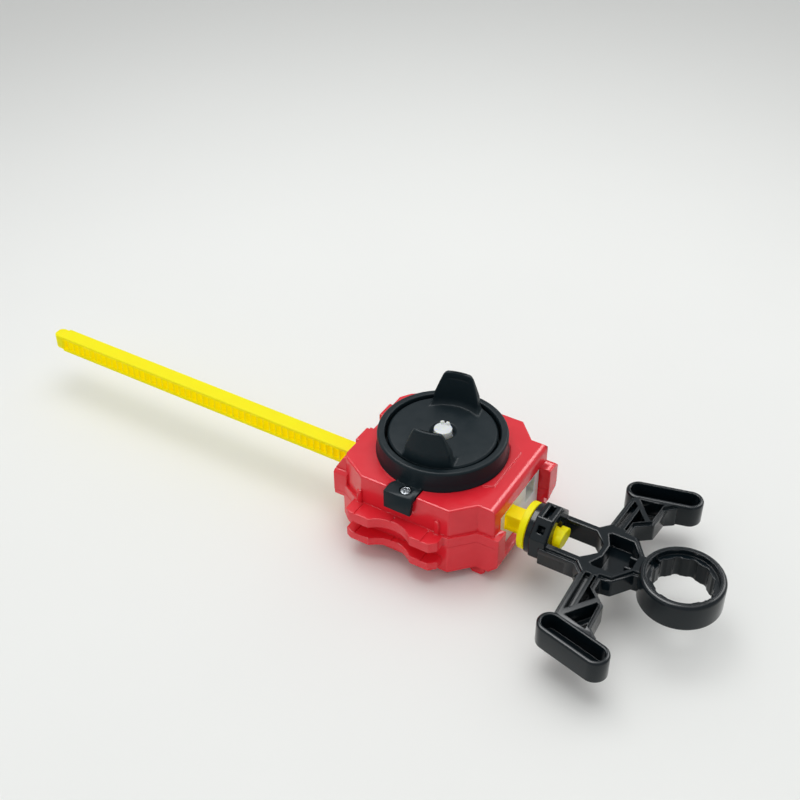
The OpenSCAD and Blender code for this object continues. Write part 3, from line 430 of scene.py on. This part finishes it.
def edge_radii(mesh, radius, rules):
    """The radius in mm for each edge of a closed mesh, and which edges are folded by more than 28 degrees.
    A folded edge gets the given radius, or that of the last rule whose test on the edge's middle (mm) holds,
    and never more than 0.45 of the room that the neighbouring sides of its two faces leave across it.
    An edge in a hollow corner, whose second face looks towards the inside of its first, gets none."""
    points = values(mesh.vertices, "co", float, 3) / MM
    ends = values(mesh.edges, "vertices", int, 2)
    edge_of = values(mesh.loops, "edge_index", int)
    first = values(mesh.polygons, "loop_start", int)
    count = values(mesh.polygons, "loop_total", int)
    normal = values(mesh.polygons, "normal", float, 3)
    face_of = np.repeat(np.arange(len(first)), count)
    order = np.argsort(edge_of, kind="stable")
    one, other = np.moveaxis(normal[face_of[order].reshape(-1, 2)], 1, 0)
    folded = (one * other).sum(-1) < math.cos(math.radians(28))

    run = points[ends[:, 1]] - points[ends[:, 0]]
    length = np.linalg.norm(run, axis=-1)
    along = run / length[:, None]
    place = np.arange(len(edge_of)) - first[face_of]
    room = np.full(len(ends), np.inf)
    for step in (-1, 1):
        beside = edge_of[first[face_of] + (place + step) % count[face_of]]
        cosine = np.abs((along[edge_of] * along[beside]).sum(-1))
        across = length[beside] * np.sqrt(np.maximum(0, 1 - cosine ** 2))
        np.minimum.at(room, edge_of, np.where(cosine < 0.8, across, np.inf))

    middle = (points[ends[:, 0]] + points[ends[:, 1]]) / 2
    wanted = np.full(len(ends), radius / MM)
    for test, size in rules:
        wanted[test(middle)] = size / MM
    forth = np.where(values(mesh.loops, "vertex_index", int)[order[::2]] == ends[:, 0], 1, -1)
    inwards = np.cross(one, along * forth[:, None])
    hollow = (other * inwards).sum(-1) > 0
    return np.where(folded & ~hollow, np.minimum(wanted, 0.45 * room), 0), folded


def spoilt_points(piece, points, ends, radii):
    """Which points of the plain mesh the Bevel spoils: it throws a new point further from its nearest old one
    than 2.6 of the radii there, or folds a triangle of more than 0.02 square mm over its own face."""
    bevelled = piece.evaluated_get(bpy.context.evaluated_depsgraph_get())
    rounded = bevelled.to_mesh()
    corner, away = nearest(values(rounded.vertices, "co", float, 3) / MM, points)
    joins = values(rounded.edges, "vertices", int, 2)
    rounded.calc_loop_triangles()
    triangles = rounded.loop_triangles
    facing = values(rounded.polygons, "normal", float, 3)[values(triangles, "polygon_index", int)]
    over = (values(triangles, "normal", float, 3) * facing).sum(-1) < 0.5
    over &= values(triangles, "area", float) > 0.02 * MM ** 2
    turned = values(triangles, "vertices", int, 3)[over]
    bevelled.to_mesh_clear()

    reach = np.zeros(len(points))
    np.maximum.at(reach, ends.ravel(), np.repeat(radii, 2))
    around = reach.copy()
    np.maximum.at(around, ends, reach[ends[:, ::-1]])
    far = away > 2.6 * around[corner] + 0.02
    spoilt = np.zeros(len(points), bool)
    spoilt[corner[far]] = True
    spoilt[corner[turned]] = True
    spoilt[corner[joins[far[joins].any(-1)]]] = True
    return spoilt


def soften(piece, radius, rules=(), segments=3):
    """Rounds a closed mesh's sharp edges with a Bevel of edge_radii. Where that spoils a corner, the radii
    there are made smaller, in the last steps to nothing. Edges that stay unrounded are marked sharp, and
    weighted normals keep the flat faces flat."""
    mesh = piece.data
    points = values(mesh.vertices, "co", float, 3) / MM
    ends = values(mesh.edges, "vertices", int, 2)
    radii, folded = edge_radii(mesh, radius, rules)
    widest = radii.max()
    mesh.attributes.new("bevel_weight_edge", "FLOAT", "EDGE")
    mesh.attributes.new("sharp_edge", "BOOLEAN", "EDGE")
    bevel = piece.modifiers.new("Rounded edges", "BEVEL")
    bevel.limit_method = "WEIGHT"
    bevel.width = widest * MM
    bevel.segments = segments
    bevel.use_clamp_overlap = False
    bevel.miter_outer = "MITER_ARC"
    # The last pass only sets the weights that the one before it left.
    for shrink in (0.6, 0.6, 0.5, 0.5, 0.4, 0.0, 1.0):
        mesh.attributes["bevel_weight_edge"].data.foreach_set("value", (radii / widest).astype(np.float32))
        mesh.attributes["sharp_edge"].data.foreach_set("value", folded & (radii < 0.01))
        mesh.update()
        spoilt = spoilt_points(piece, points, ends, radii)
        if not spoilt.any():
            break
        radii[spoilt[ends].any(-1)] *= shrink
    even = piece.modifiers.new("Even faces", "WEIGHTED_NORMAL")
    even.keep_sharp = True
    return piece


# Pieces

def launch_disc_grid():
    """The disc: a filleted profile turned about the spin axis. Its top falls from the countersunk hole to
    the rim, and its underside keeps the hollow that the spindle's head sits in."""
    foot, rib_top, seat_top, top = 29.6, 31.4, 32.1, 34.97
    hole, seat, hub, skirt, rim = 3.4, 6.47, 8.4, 15.5, 17.1
    profile = filleted([
        (hole, seat_top, 0.05), (hole, 34.0, 0.2), (hole + 0.9, top, 0.4),
        (rim - 0.6, 34.7, 0.3), (rim, 34.2, 0.3), (rim, foot, 0.3),
        (skirt, foot, 0.2), (skirt, rib_top, 0.3), (hub, rib_top, 0.3), (hub, foot, 0.2),
        (seat, foot, 0.1), (seat, seat_top, 0.05)])
    return revolved(profile, 192)


def prong_grid(turn):
    """A prong: a rounded rectangle over the height z, bent about the spin axis. Its half width, inner radius
    and outer radius are curves of z: a flare that leaves the disc along a quarter circle, a straight wall,
    a crease above which the outer face leans in, and a tip that closes along a quarter circle.
    A small slot is sunk into the inner face below the tip.
    A point at width x and radius r lies at (x, -sqrt(r r - x x)), turned by the prong's angle."""
    foot, crease, tip = 34.4, 39.1, 46.4
    flare, curl = 2.4, 0.45
    slot_at, slot_half_w, slot_half_h, slot_depth = tip - 2.1, 1.9, 0.34, 0.5
    closing = np.linspace(0, math.pi / 2, 12)[1:]
    low = foot + flare * (1 - np.cos(np.linspace(0, math.pi / 2, 16)))
    wall = np.linspace(low[-1], tip - curl, 70)[1:]
    z = np.concatenate([low, wall, tip - curl + curl * np.sin(closing)])
    inset = np.concatenate([np.zeros(len(low) + len(wall)), curl * (1 - np.cos(closing))])
    rise = np.clip((z - foot) / flare, 0, 1)
    spread = 1 - np.sqrt(np.maximum(0, 1 - (1 - rise) ** 2))
    width = np.interp(z, [foot, crease, tip - 2.2, tip - 1.2, tip - 0.5, tip],
                      [7.5, 7.1, 5.3, 4.9, 4.4, 3.8]) + 1.7 * spread - inset * 0.6
    inner = np.interp(z, [foot, tip], [13.6, 14.75]) - 1.7 * spread + inset
    outer = np.interp(z, [foot, crease, tip], [16.85, 16.85, 15.95]) + 0.1 * spread - inset
    thick = (outer - inner) / 2
    # Points along the flat sides let them bend with the disc and hold the slot.
    x, b = (subdivided(loop) for loop in rounded_loop(
        width[:, None], thick[:, None], np.minimum(0.55, 0.95 * thick)[:, None], 9))
    z = z[:, None] + 0 * x
    slot = smooth(slot_half_w - np.abs(x), 0.25) * smooth(slot_half_h - np.abs(z - slot_at), 0.2) * (b < 0)
    r = (outer + inner)[:, None] / 2 + b + slot_depth * slot
    y = -np.sqrt(np.maximum(r ** 2 - x ** 2, 0.01))
    c, s = math.cos(math.radians(turn)), math.sin(math.radians(turn))
    return capped(np.stack([c * x - s * y, s * x + c * y, z], -1))


def plunger_grid():
    """The plunger: a filleted profile turned about the spin axis, with two crown teeth at the back of its
    top, raised where the angle and the radius are near a tooth's."""
    foot, collar_top, shoulder, top = 30.45, 32.05, 35.95, 36.06
    collar, stem = 4.05, 2.85
    teeth_at, tooth_half, tooth_from, tooth_h = (78, 124), 17, 1.7, 0.9
    steps = 6
    outline = filleted([(collar, foot, 0.2), (collar, collar_top, 0.3), (stem, collar_top, 0.1),
                        (stem, shoulder, 0.35), (0.0, top, 0.0), (0.0, foot, 0.0)], steps)
    # The two corners on the axis give way to rows that are close enough to carry the teeth.
    side = outline[:4 * steps]
    crown = np.linspace(side[-1], (0.0, top), 26)
    grid = revolved(np.concatenate([[(0.0, foot)], side[:-1], crown[1:]]), 144)
    angle = np.degrees(np.arctan2(grid[..., 1], grid[..., 0]))
    radius = np.hypot(grid[..., 0], grid[..., 1])
    near = np.min([np.abs(angle - at) for at in teeth_at], 0)
    across = smooth(radius - tooth_from, 0.25) * smooth(stem + 0.01 - radius, 0.2)
    upper = grid[..., 2] > shoulder - 0.65
    grid[..., 2] += tooth_h * smooth(tooth_half - near, 5) * across * upper
    return grid


def small_bar(points):
    """The cord's points with its cross bar drawn in. The solid bar locks behind the handle's collar, and what
    shows of it is smaller: nearer to the cord's axis by a share, and shorter at its back."""
    bar_from, back_from, share, shorter = 43.8, 46.5, 0.88, 1.1
    bar, back = points[:, 0] > bar_from, points[:, 0] > back_from
    points[bar, 1:] = CORD_AXIS + (points[bar, 1:] - CORD_AXIS) * share
    points[back, 0] -= shorter
    return points


def tongue_grid():
    """The cord's rounded tongue: a rounded rectangle swept along the cord. Its half width follows a quarter
    circle over the last stretch as long as itself, and its half height one over the length of its curl."""
    half_w, half_h, curl, length = 2.4, 2.75, 0.8, 4.6
    rounding = half_w * (1 - np.sin(np.linspace(0, math.pi / 2, 24)))
    run = np.concatenate([np.linspace(length, half_w, 4)[:-1], rounding])
    width = half_w * np.sqrt(1 - np.clip(1 - run / half_w, 0, 1) ** 2) + 0.05
    height = half_h - curl + curl * np.sqrt(1 - np.clip(1 - run / curl, 0, 1) ** 2)
    a, b = rounded_loop(width[:, None], height[:, None], np.minimum(0.5, 0.9 * width)[:, None], 6)
    return capped(np.stack([CORD_LOW.x + run[:, None] + 0 * a, CORD_AXIS[0] + a, CORD_AXIS[1] + b], -1))


def off_pads(points):
    """The way from the middle line of the nearer pad to each point, seen from above."""
    side = np.where(points[:, 1] > CORD_AXIS[0], 1.0, -1.0)
    x, y = points[:, 0] - PAD_AT[0], side * (points[:, 1] - CORD_AXIS[0]) - PAD_AT[1]
    c, s = math.cos(PAD_SPLAY), math.sin(PAD_SPLAY)
    along = np.clip(x * c + y * s, -PAD_RUN, PAD_RUN)
    return np.stack([x - along * c, side * (y - along * s)], -1)


def without_rims(points):
    """The handle's points with the upper edges of its tool ring and pads drawn in, and the pads' tops let
    down, so that the pieces of ring_rim_grid and pad_rim_grid round them."""
    slack, ring_in, pad_in, pad_down = 0.1, 1.1, 0.7, 0.3
    from_ring = points[:, :2] - RING_AT
    reach = np.hypot(*from_ring.T)
    edge = (np.abs(reach - RING_R) < slack) & (points[:, 2] > RING_TOP - slack)
    points[edge, :2] = RING_AT + from_ring[edge] * ((RING_R - ring_in) / reach[edge])[:, None]

    from_pad = off_pads(points)
    reach = np.hypot(*from_pad.T)
    top = (reach < PAD_R + slack) & (np.abs(points[:, 2] - PAD_TOP) < slack)
    points[top, 2] -= pad_down
    edge = top & (np.abs(reach - PAD_R) < slack)
    points[edge, :2] -= from_pad[edge] * (pad_in / reach[edge])[:, None]
    return points


def ring_rim_grid():
    """The tool ring's outer wall: a filleted profile turned about the ring's middle."""
    inside, foot = RING_R - 1.3, RING_TOP - 9.0
    profile = filleted([(RING_R, foot, 0.4), (RING_R, RING_TOP, 1.2), (inside, RING_TOP, 0.02),
                        (inside, foot + 0.05, 0.02)], 10)
    return revolved(profile, 200) + (*RING_AT, 0)


def pad_rim_grid(side):
    """A pad's wall: a filleted profile drawn out along the pad's run, turned by its splay and set beside the
    cord, towards +Y where side is 1 and towards -Y where it is -1."""
    inside = PAD_R - 1.35
    profile = filleted([(PAD_R, PAD_LOW + 0.02, 0.15), (PAD_R, PAD_TOP, 0.8), (inside, PAD_TOP, 0.3),
                        (inside, PAD_LOW + 1.0, 0.02)], 8)
    c, s = math.cos(PAD_SPLAY), side * math.sin(PAD_SPLAY)
    turned = drawn_out(profile, PAD_RUN) @ np.array([(c, s, 0), (-s, c, 0), (0, 0, 1)])
    return turned + (PAD_AT[0], CORD_AXIS[0] + side * PAD_AT[1], 0)


def slot_floor_grid(turn, half_x, half_w):
    """The floor of an opening in the handle's collar: a flat plate between two radii about the cord's axis,
    turned about it."""
    middle_x, low, high = 40.65, 5.85, 6.4
    a, b = rounded_loop(half_x, half_w, 0.05, 3)
    share = np.array([0, 1, 1, 0])[:, None]
    side, out = share * b, np.array([low, low, high, high])[:, None] + 0 * b
    c, s = math.cos(math.radians(turn)), math.sin(math.radians(turn))
    return np.stack([middle_x + share * a, CORD_AXIS[0] + c * side - s * out,
                     CORD_AXIS[1] + s * side + c * out], -1)


def screw_grid(at, head_up, shank, head, head_h, length):
    """A pan-head screw: a profile from the top of its head to its tip turned about its axis, with a cross
    sunk into the head where the smaller of |x| and |y| is under the blade's half width."""
    dome = np.linspace(0, math.pi / 2, 14)
    flat, flat_rows = 0.86 * head, 26
    top = np.stack([np.linspace(0, flat, flat_rows), np.full(flat_rows, head_h)], -1)
    top[:, 1] -= 0.12 * head_h * (top[:, 0] / head) ** 2
    rim = np.stack([flat + (head - flat) * np.sin(dome), head_h - 0.45 * head_h * (1 - np.cos(dome))], -1)
    rest = [(head, 0.0), (shank, 0.0), (shank, -length + 0.5), (0.3 * shank, -length), (0, -length)]
    grid = revolved(np.concatenate([top, rim[1:], rest]), 96)
    x, y, z = np.moveaxis(grid, -1, 0)
    blade, reach = 0.13 * head, 0.62 * head
    narrow, wide = np.minimum(np.abs(x), np.abs(y)), np.maximum(np.abs(x), np.abs(y))
    upper = z > 0.5 * head_h
    sunk = smooth(blade - narrow, 0.06 * head) * smooth(reach - wide, 0.12 * head) * upper
    z = np.where(upper, z - 0.5 * head_h * sunk, z)
    if not head_up:
        y, z = -y, -z
    return np.stack([x + at[0], y + at[1], z + at[2]], -1)


class LAUNCHER_OT_casing(bpy.types.Operator):
    """Rounds the edges of both casing shells and gives them their moulded red"""
    bl_idname = "launcher.casing"
    bl_label = "Casing shells"

    def execute(self, context):
        sizes = context.scene.launcher_sizes
        low, high = mm_box("face_shell")
        platform_h, ledge, feet, slack = 0.4, 17.6, 3.5, 0.05
        top, seam = high.z - platform_h, low.z
        end = mm_box("guide_upper")[1].x
        at = lambda middle, height: np.abs(middle[:, 2] - height) < slack
        rules = [
            (lambda m: at(m, top), sizes.casing_top),
            (lambda m: at(m, top) & (m[:, 0] > end), sizes.casing_end),
            (lambda m: at(m, seam) | at(m, ledge) | (m[:, 2] < feet), sizes.seam_edge),
        ]
        for node in ("base_shell", "face_shell"):
            piece = soften(merged_copy(node, node + "_moulded"), sizes.casing_edge, rules)
            dress(piece, "abs_red_moulded", "casing", node)
        return {"FINISHED"}


class LAUNCHER_OT_collar(bpy.types.Operator):
    """Rounds the collar ring's edges and the fold of its tab, and gives it its moulded black"""
    bl_idname = "launcher.collar"
    bl_label = "Collar ring"

    def execute(self, context):
        sizes = context.scene.launcher_sizes
        fold, tab_low, slack = mm_box("collar_ring")[0].y, 28, 0.05
        rules = [(lambda m: (np.abs(m[:, 1] - fold) < slack) & (m[:, 2] > tab_low), sizes.tab_fold)]
        ring = soften(merged_copy("collar_ring", "collar_ring_moulded"), sizes.collar_edge, rules)
        dress(ring, "abs_black_eroded", "casing", "collar_ring")
        return {"FINISHED"}


class LAUNCHER_OT_launch_disc(bpy.types.Operator):
    """Builds the launch disc with its two flared prongs"""
    bl_idname = "launcher.launch_disc"
    bl_label = "Launch disc and prongs"

    def execute(self, context):
        parts = [(launch_disc_grid(), True), (prong_grid(11), False), (prong_grid(191), False)]
        dress(piece_from("launch_disc_moulded", *joined(parts)), "abs_black_eroded", "rotor", "launch_disc")
        return {"FINISHED"}


class LAUNCHER_OT_plunger(bpy.types.Operator):
    """Builds the white plunger with its crown teeth"""
    bl_idname = "launcher.plunger"
    bl_label = "Plunger"

    def execute(self, context):
        piece = piece_from("plunger_moulded", *joined([(plunger_grid(), False)]))
        dress(piece, "acetal_white_moulded", "button", "plunger")
        return {"FINISHED"}


class LAUNCHER_OT_screws(bpy.types.Operator):
    """Builds the pan-head screws of the collar tab, the casing and the rack guide"""
    bl_idname = "launcher.screws"
    bl_label = "Screws"

    def execute(self, context):
        low, high = mm_box("collar_screw")
        shank, head, head_h = 0.9, 1.7, 0.8
        at = ((low.x + high.x) / 2, (low.y + high.y) / 2, high.z - head_h)
        self.plated("collar_screw", [screw_grid(at, True, shank, head, head_h, at[2] - low.z)])

        low, high = mm_box("casing_screws")
        shank, head, head_h = 1.0, 1.9, 1.4
        places = [(x, y, low.z + head_h) for x in (low.x + head, high.x - head)
                  for y in (low.y + head, high.y - head)]
        self.plated("casing_screws", [screw_grid(at, False, shank, head, head_h, high.z - at[2])
                                      for at in places])

        low, high = mm_box("guide_screws")
        shank, head, head_h = 0.9, 1.7, 0.9
        places = [(x, 0.0, high.z - head_h) for x in (low.x + head, high.x - head)]
        self.plated("guide_screws", [screw_grid(at, True, shank, head, head_h, at[2] - low.z)
                                     for at in places])
        return {"FINISHED"}

    def plated(self, node, grids):
        """One piece of alike screws, in place of their node."""
        piece = piece_from(node + "_plated", *joined([(grid, False) for grid in grids]))
        dress(piece, "steel_zinc_plated", "casing", node)


class LAUNCHER_OT_guides(bpy.types.Operator):
    """Rounds the edges of the rack guide's halves and of the drive pinion"""
    bl_idname = "launcher.guides"
    bl_label = "Rack guide and pinion"

    def execute(self, context):
        sizes = context.scene.launcher_sizes
        for node, body, radius in (("guide_lower", "casing", sizes.guide_edge),
                                   ("guide_upper", "casing", sizes.guide_edge),
                                   ("drive_pinion", "rotor", sizes.tooth_edge)):
            piece = soften(merged_copy(node, node + "_moulded"), radius)
            dress(piece, "acetal_white_moulded", body, node)
        return {"FINISHED"}


class LAUNCHER_OT_cord(bpy.types.Operator):
    """Rounds the toothed rip cord's edges, draws in its cross bar, and gives its tip a rounded tongue"""
    bl_idname = "launcher.cord"
    bl_label = "Rip cord"

    def execute(self, context):
        sizes = context.scene.launcher_sizes
        piece = reshaped(merged_copy("ripcord", "ripcord_moulded"), small_bar)
        dress(soften(piece, sizes.cord_edge, segments=2), "nylon_yellow_moulded", "cord", "ripcord")
        tongue = piece_from("ripcord_tongue", *joined([(tongue_grid(), False)]))
        dress(tongue, "nylon_yellow_moulded", "cord")
        return {"FINISHED"}


class LAUNCHER_OT_handle(bpy.types.Operator):
    """Rounds the handle's edges, and adds rims to its ring and pads and floors to its collar's slots"""
    bl_idname = "launcher.handle"
    bl_label = "Handle"

    def execute(self, context):
        sizes = context.scene.launcher_sizes
        feet, ring_reach, pad_reach = 10, RING_R + 0.3, PAD_R + 0.2
        fine = lambda m: ((m[:, 2] < feet) | (np.hypot(*(m[:, :2] - RING_AT).T) < ring_reach)
                          | (np.hypot(*off_pads(m).T) < pad_reach))
        piece = reshaped(merged_copy("handle", "handle_moulded"), without_rims)
        soften(piece, sizes.handle_edge, [(fine, sizes.seam_edge)])
        dress(piece, "abs_black_polished", "cord", "handle")
        long_slot, square_hole = (0, 0.9, 2.9), (45, 1.2, 1.2)
        floors = [(slot_floor_grid(side + turn, half_x, half_w), False)
                  for side in (0, 180) for turn, half_x, half_w in (long_slot, square_hole)]
        for name, parts in (("tool_ring_rim", [(ring_rim_grid(), True)]),
                            ("pad_rims", [(pad_rim_grid(side), True) for side in (1, -1)]),
                            ("collar_slot_floors", floors)):
            dress(piece_from(name, *joined(parts)), "abs_black_polished", "cord")
        return {"FINISHED"}


class LAUNCHER_OT_running_gear(bpy.types.Operator):
    """Gives the bushes, washers, spindle and clip their metals, and dresses a copy of the spring in plated
    steel
    """
    bl_idname = "launcher.running_gear"
    bl_label = "Running gear"

    def execute(self, context):
        metals = {"brass_turned": ("lower_bush", "upper_bush"),
                  "steel_zinc_plated": ("thrust_washer", "lower_washer", "spindle", "spindle_clip")}
        for metal, nodes in metals.items():
            for node in nodes:
                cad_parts[node].data.materials.clear()
                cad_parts[node].data.materials.append(finish(metal))
        spring = merged_copy("plunger_spring", "plunger_spring_wound")
        dress(spring, "steel_zinc_plated", "rotor", "plunger_spring")
        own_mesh(spring)
        return {"FINISHED"}


class LAUNCHER_OT_stage(bpy.types.Operator):
    """Lays the pale paper, sets the soft lamps and the surroundings, and aims the camera"""
    bl_idname = "launcher.stage"
    bl_label = "Floor, light and camera"

    def execute(self, context):
        scene = context.scene
        self.paper(scene)
        self.light(scene)
        self.camera(scene)
        scene.view_settings.view_transform = "Standard"
        return {"FINISHED"}

    def paper(self, scene):
        """A flat square of paper at the height of the feet."""
        mesh = bpy.data.meshes.new("paper_floor")
        half = 30.0
        corners = [(-half, -half, 0), (half, -half, 0), (half, half, 0), (-half, half, 0)]
        mesh.from_pydata(corners, [], [(0, 1, 2, 3)])
        floor = bpy.data.objects.new("paper_floor", mesh)
        scene.collection.objects.link(floor)
        # Matt coated paper: an even white with faint cloudy tones, and painted shade that turns it greyer
        # with distance from the middle, where the lamps' light falls off.
        material, tree, out = empty_material("paper_matt_white")
        place = add(tree, "TexCoord").outputs["Object"]
        clouds = add(tree, "TexNoise", {"Vector": place, "Scale": per_mm(60.0), "Detail": 3.0})
        colour = scene.launcher_colours.paper
        tone = add(tree, "Mix", {"Factor": clouds.outputs["Fac"], "A": shade(colour, 0.985),
                                 "B": shade(colour, 1.01)}, data_type="RGBA")
        # Painted shade: from 150 mm to 520 mm away from the middle, the paper turns to 0.66 of its colour.
        away = add(tree, "VectorMath", {0: place}, operation="LENGTH")
        painted_shade_share = add(tree, "MapRange", {"Value": away.outputs["Value"], "From Min": 150 * MM,
                                      "From Max": 520 * MM}, interpolation_type="SMOOTHSTEP")
        grey = add(tree, "Mix", {"Factor": painted_shade_share.outputs["Result"], "A": tone.outputs["Result"],
                                 "B": shade(colour, 0.66)}, data_type="RGBA")
        shader = add(tree, "BsdfPrincipled", {"Base Color": grey.outputs["Result"], "Roughness": 0.75})
        tree.links.new(shader.outputs["BSDF"], out.inputs["Surface"])
        mesh.materials.append(material)

    def light(self, scene):
        """A wide soft box above, a weak one in front, two glints for the edges, and pale surroundings."""
        for name, place, aim, size, watts in (
                ("soft_box_above", (-0.08, 0.15, 0.95), (0.0, 0.0, 0.0), 0.9, 4.6),
                ("glint_above", (-0.3, 0.05, 0.9), (0.0, 0.0, 0.02), 0.7, 13.5),
                ("glint_behind", (0.35, 1.0, 0.95), (0.0, 0.0, 0.02), 0.7, 10.5),
                ("soft_box_front", (-0.5, -1.1, 0.8), (0.0, 0.0, 0.02), 0.8, 0.5)):
            lamp = bpy.data.lights.new(name, "AREA")
            lamp.size = size
            lamp.energy = watts
            holder = bpy.data.objects.new(name, lamp)
            holder.location = place
            holder.rotation_euler = (Vector(aim) - Vector(place)).to_track_quat("-Z", "Y").to_euler()
            # The two glints only show as highlights along the edges.
            holder.visible_diffuse = not name.startswith("glint")
            scene.collection.objects.link(holder)
        world = bpy.data.worlds.new("pale_room")
        world.use_nodes = True
        background = world.node_tree.nodes["Background"]
        background.inputs["Color"].default_value = (0.93, 0.94, 0.95, 1.0)
        background.inputs["Strength"].default_value = 0.62
        scene.world = world

    def camera(self, scene):
        """The view from the photograph: a direction back from the target, then a small roll about it."""
        turn, rise, roll = (math.radians(angle) for angle in (31.2, 38.8, -0.33))
        target, distance = Vector((-21.34, 9.78, 31.5)), 417.9
        back = Vector((math.sin(turn) * math.cos(rise), -math.cos(turn) * math.cos(rise), math.sin(rise)))
        right = Vector((math.cos(turn), math.sin(turn), 0))
        up = back.cross(right)
        c, s = math.cos(roll), math.sin(roll)
        right, up = right * c + up * s, up * c - right * s
        place = (target + back * distance) * MM
        lens = bpy.data.cameras.new("photo_view")
        lens.lens = 58.5
        lens.sensor_width = 36.0
        lens.clip_start = 0.01
        view = bpy.data.objects.new("photo_view", lens)
        view.matrix_world = Matrix.Translation(place) @ Matrix((right, up, back)).transposed().to_4x4()
        scene.collection.objects.link(view)
        scene.camera = view


class LAUNCHER_PT_panel(bpy.types.Panel):
    """Lists the launcher's sizes, colours and pieces"""
    bl_idname = "LAUNCHER_PT_panel"
    bl_label = "Spinning top launcher"
    bl_space_type = "VIEW_3D"
    bl_region_type = "UI"
    bl_category = "Launcher"

    def draw(self, context):
        for group in (context.scene.launcher_sizes, context.scene.launcher_colours):
            box = self.layout.box()
            for name in group.bl_rna.properties.keys():
                if name not in ("rna_type", "name"):
                    box.prop(group, name)
        for operator in OPERATORS:
            self.layout.operator(operator.bl_idname)


OPERATORS = (
    LAUNCHER_OT_casing, LAUNCHER_OT_collar, LAUNCHER_OT_launch_disc, LAUNCHER_OT_plunger, LAUNCHER_OT_screws,
    LAUNCHER_OT_guides, LAUNCHER_OT_cord, LAUNCHER_OT_handle, LAUNCHER_OT_running_gear, LAUNCHER_OT_stage)
CLASSES = (LauncherSizes, LauncherColours) + OPERATORS + (LAUNCHER_PT_panel,)


def register():
    """Makes the add-on's classes and settings known to Blender."""
    for cls in CLASSES:
        bpy.utils.register_class(cls)
    bpy.types.Scene.launcher_sizes = PointerProperty(type=LauncherSizes)
    bpy.types.Scene.launcher_colours = PointerProperty(type=LauncherColours)


def unregister():
    """Takes them away again."""
    del bpy.types.Scene.launcher_colours
    del bpy.types.Scene.launcher_sizes
    for cls in reversed(CLASSES):
        bpy.utils.unregister_class(cls)


def main():
    """Registers the add-on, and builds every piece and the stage."""
    register()
    for operator in OPERATORS:
        group, name = operator.bl_idname.split(".")
        getattr(getattr(bpy.ops, group), name)()
    bpy.context.view_layer.update()


if __name__ == "__main__":
    main()
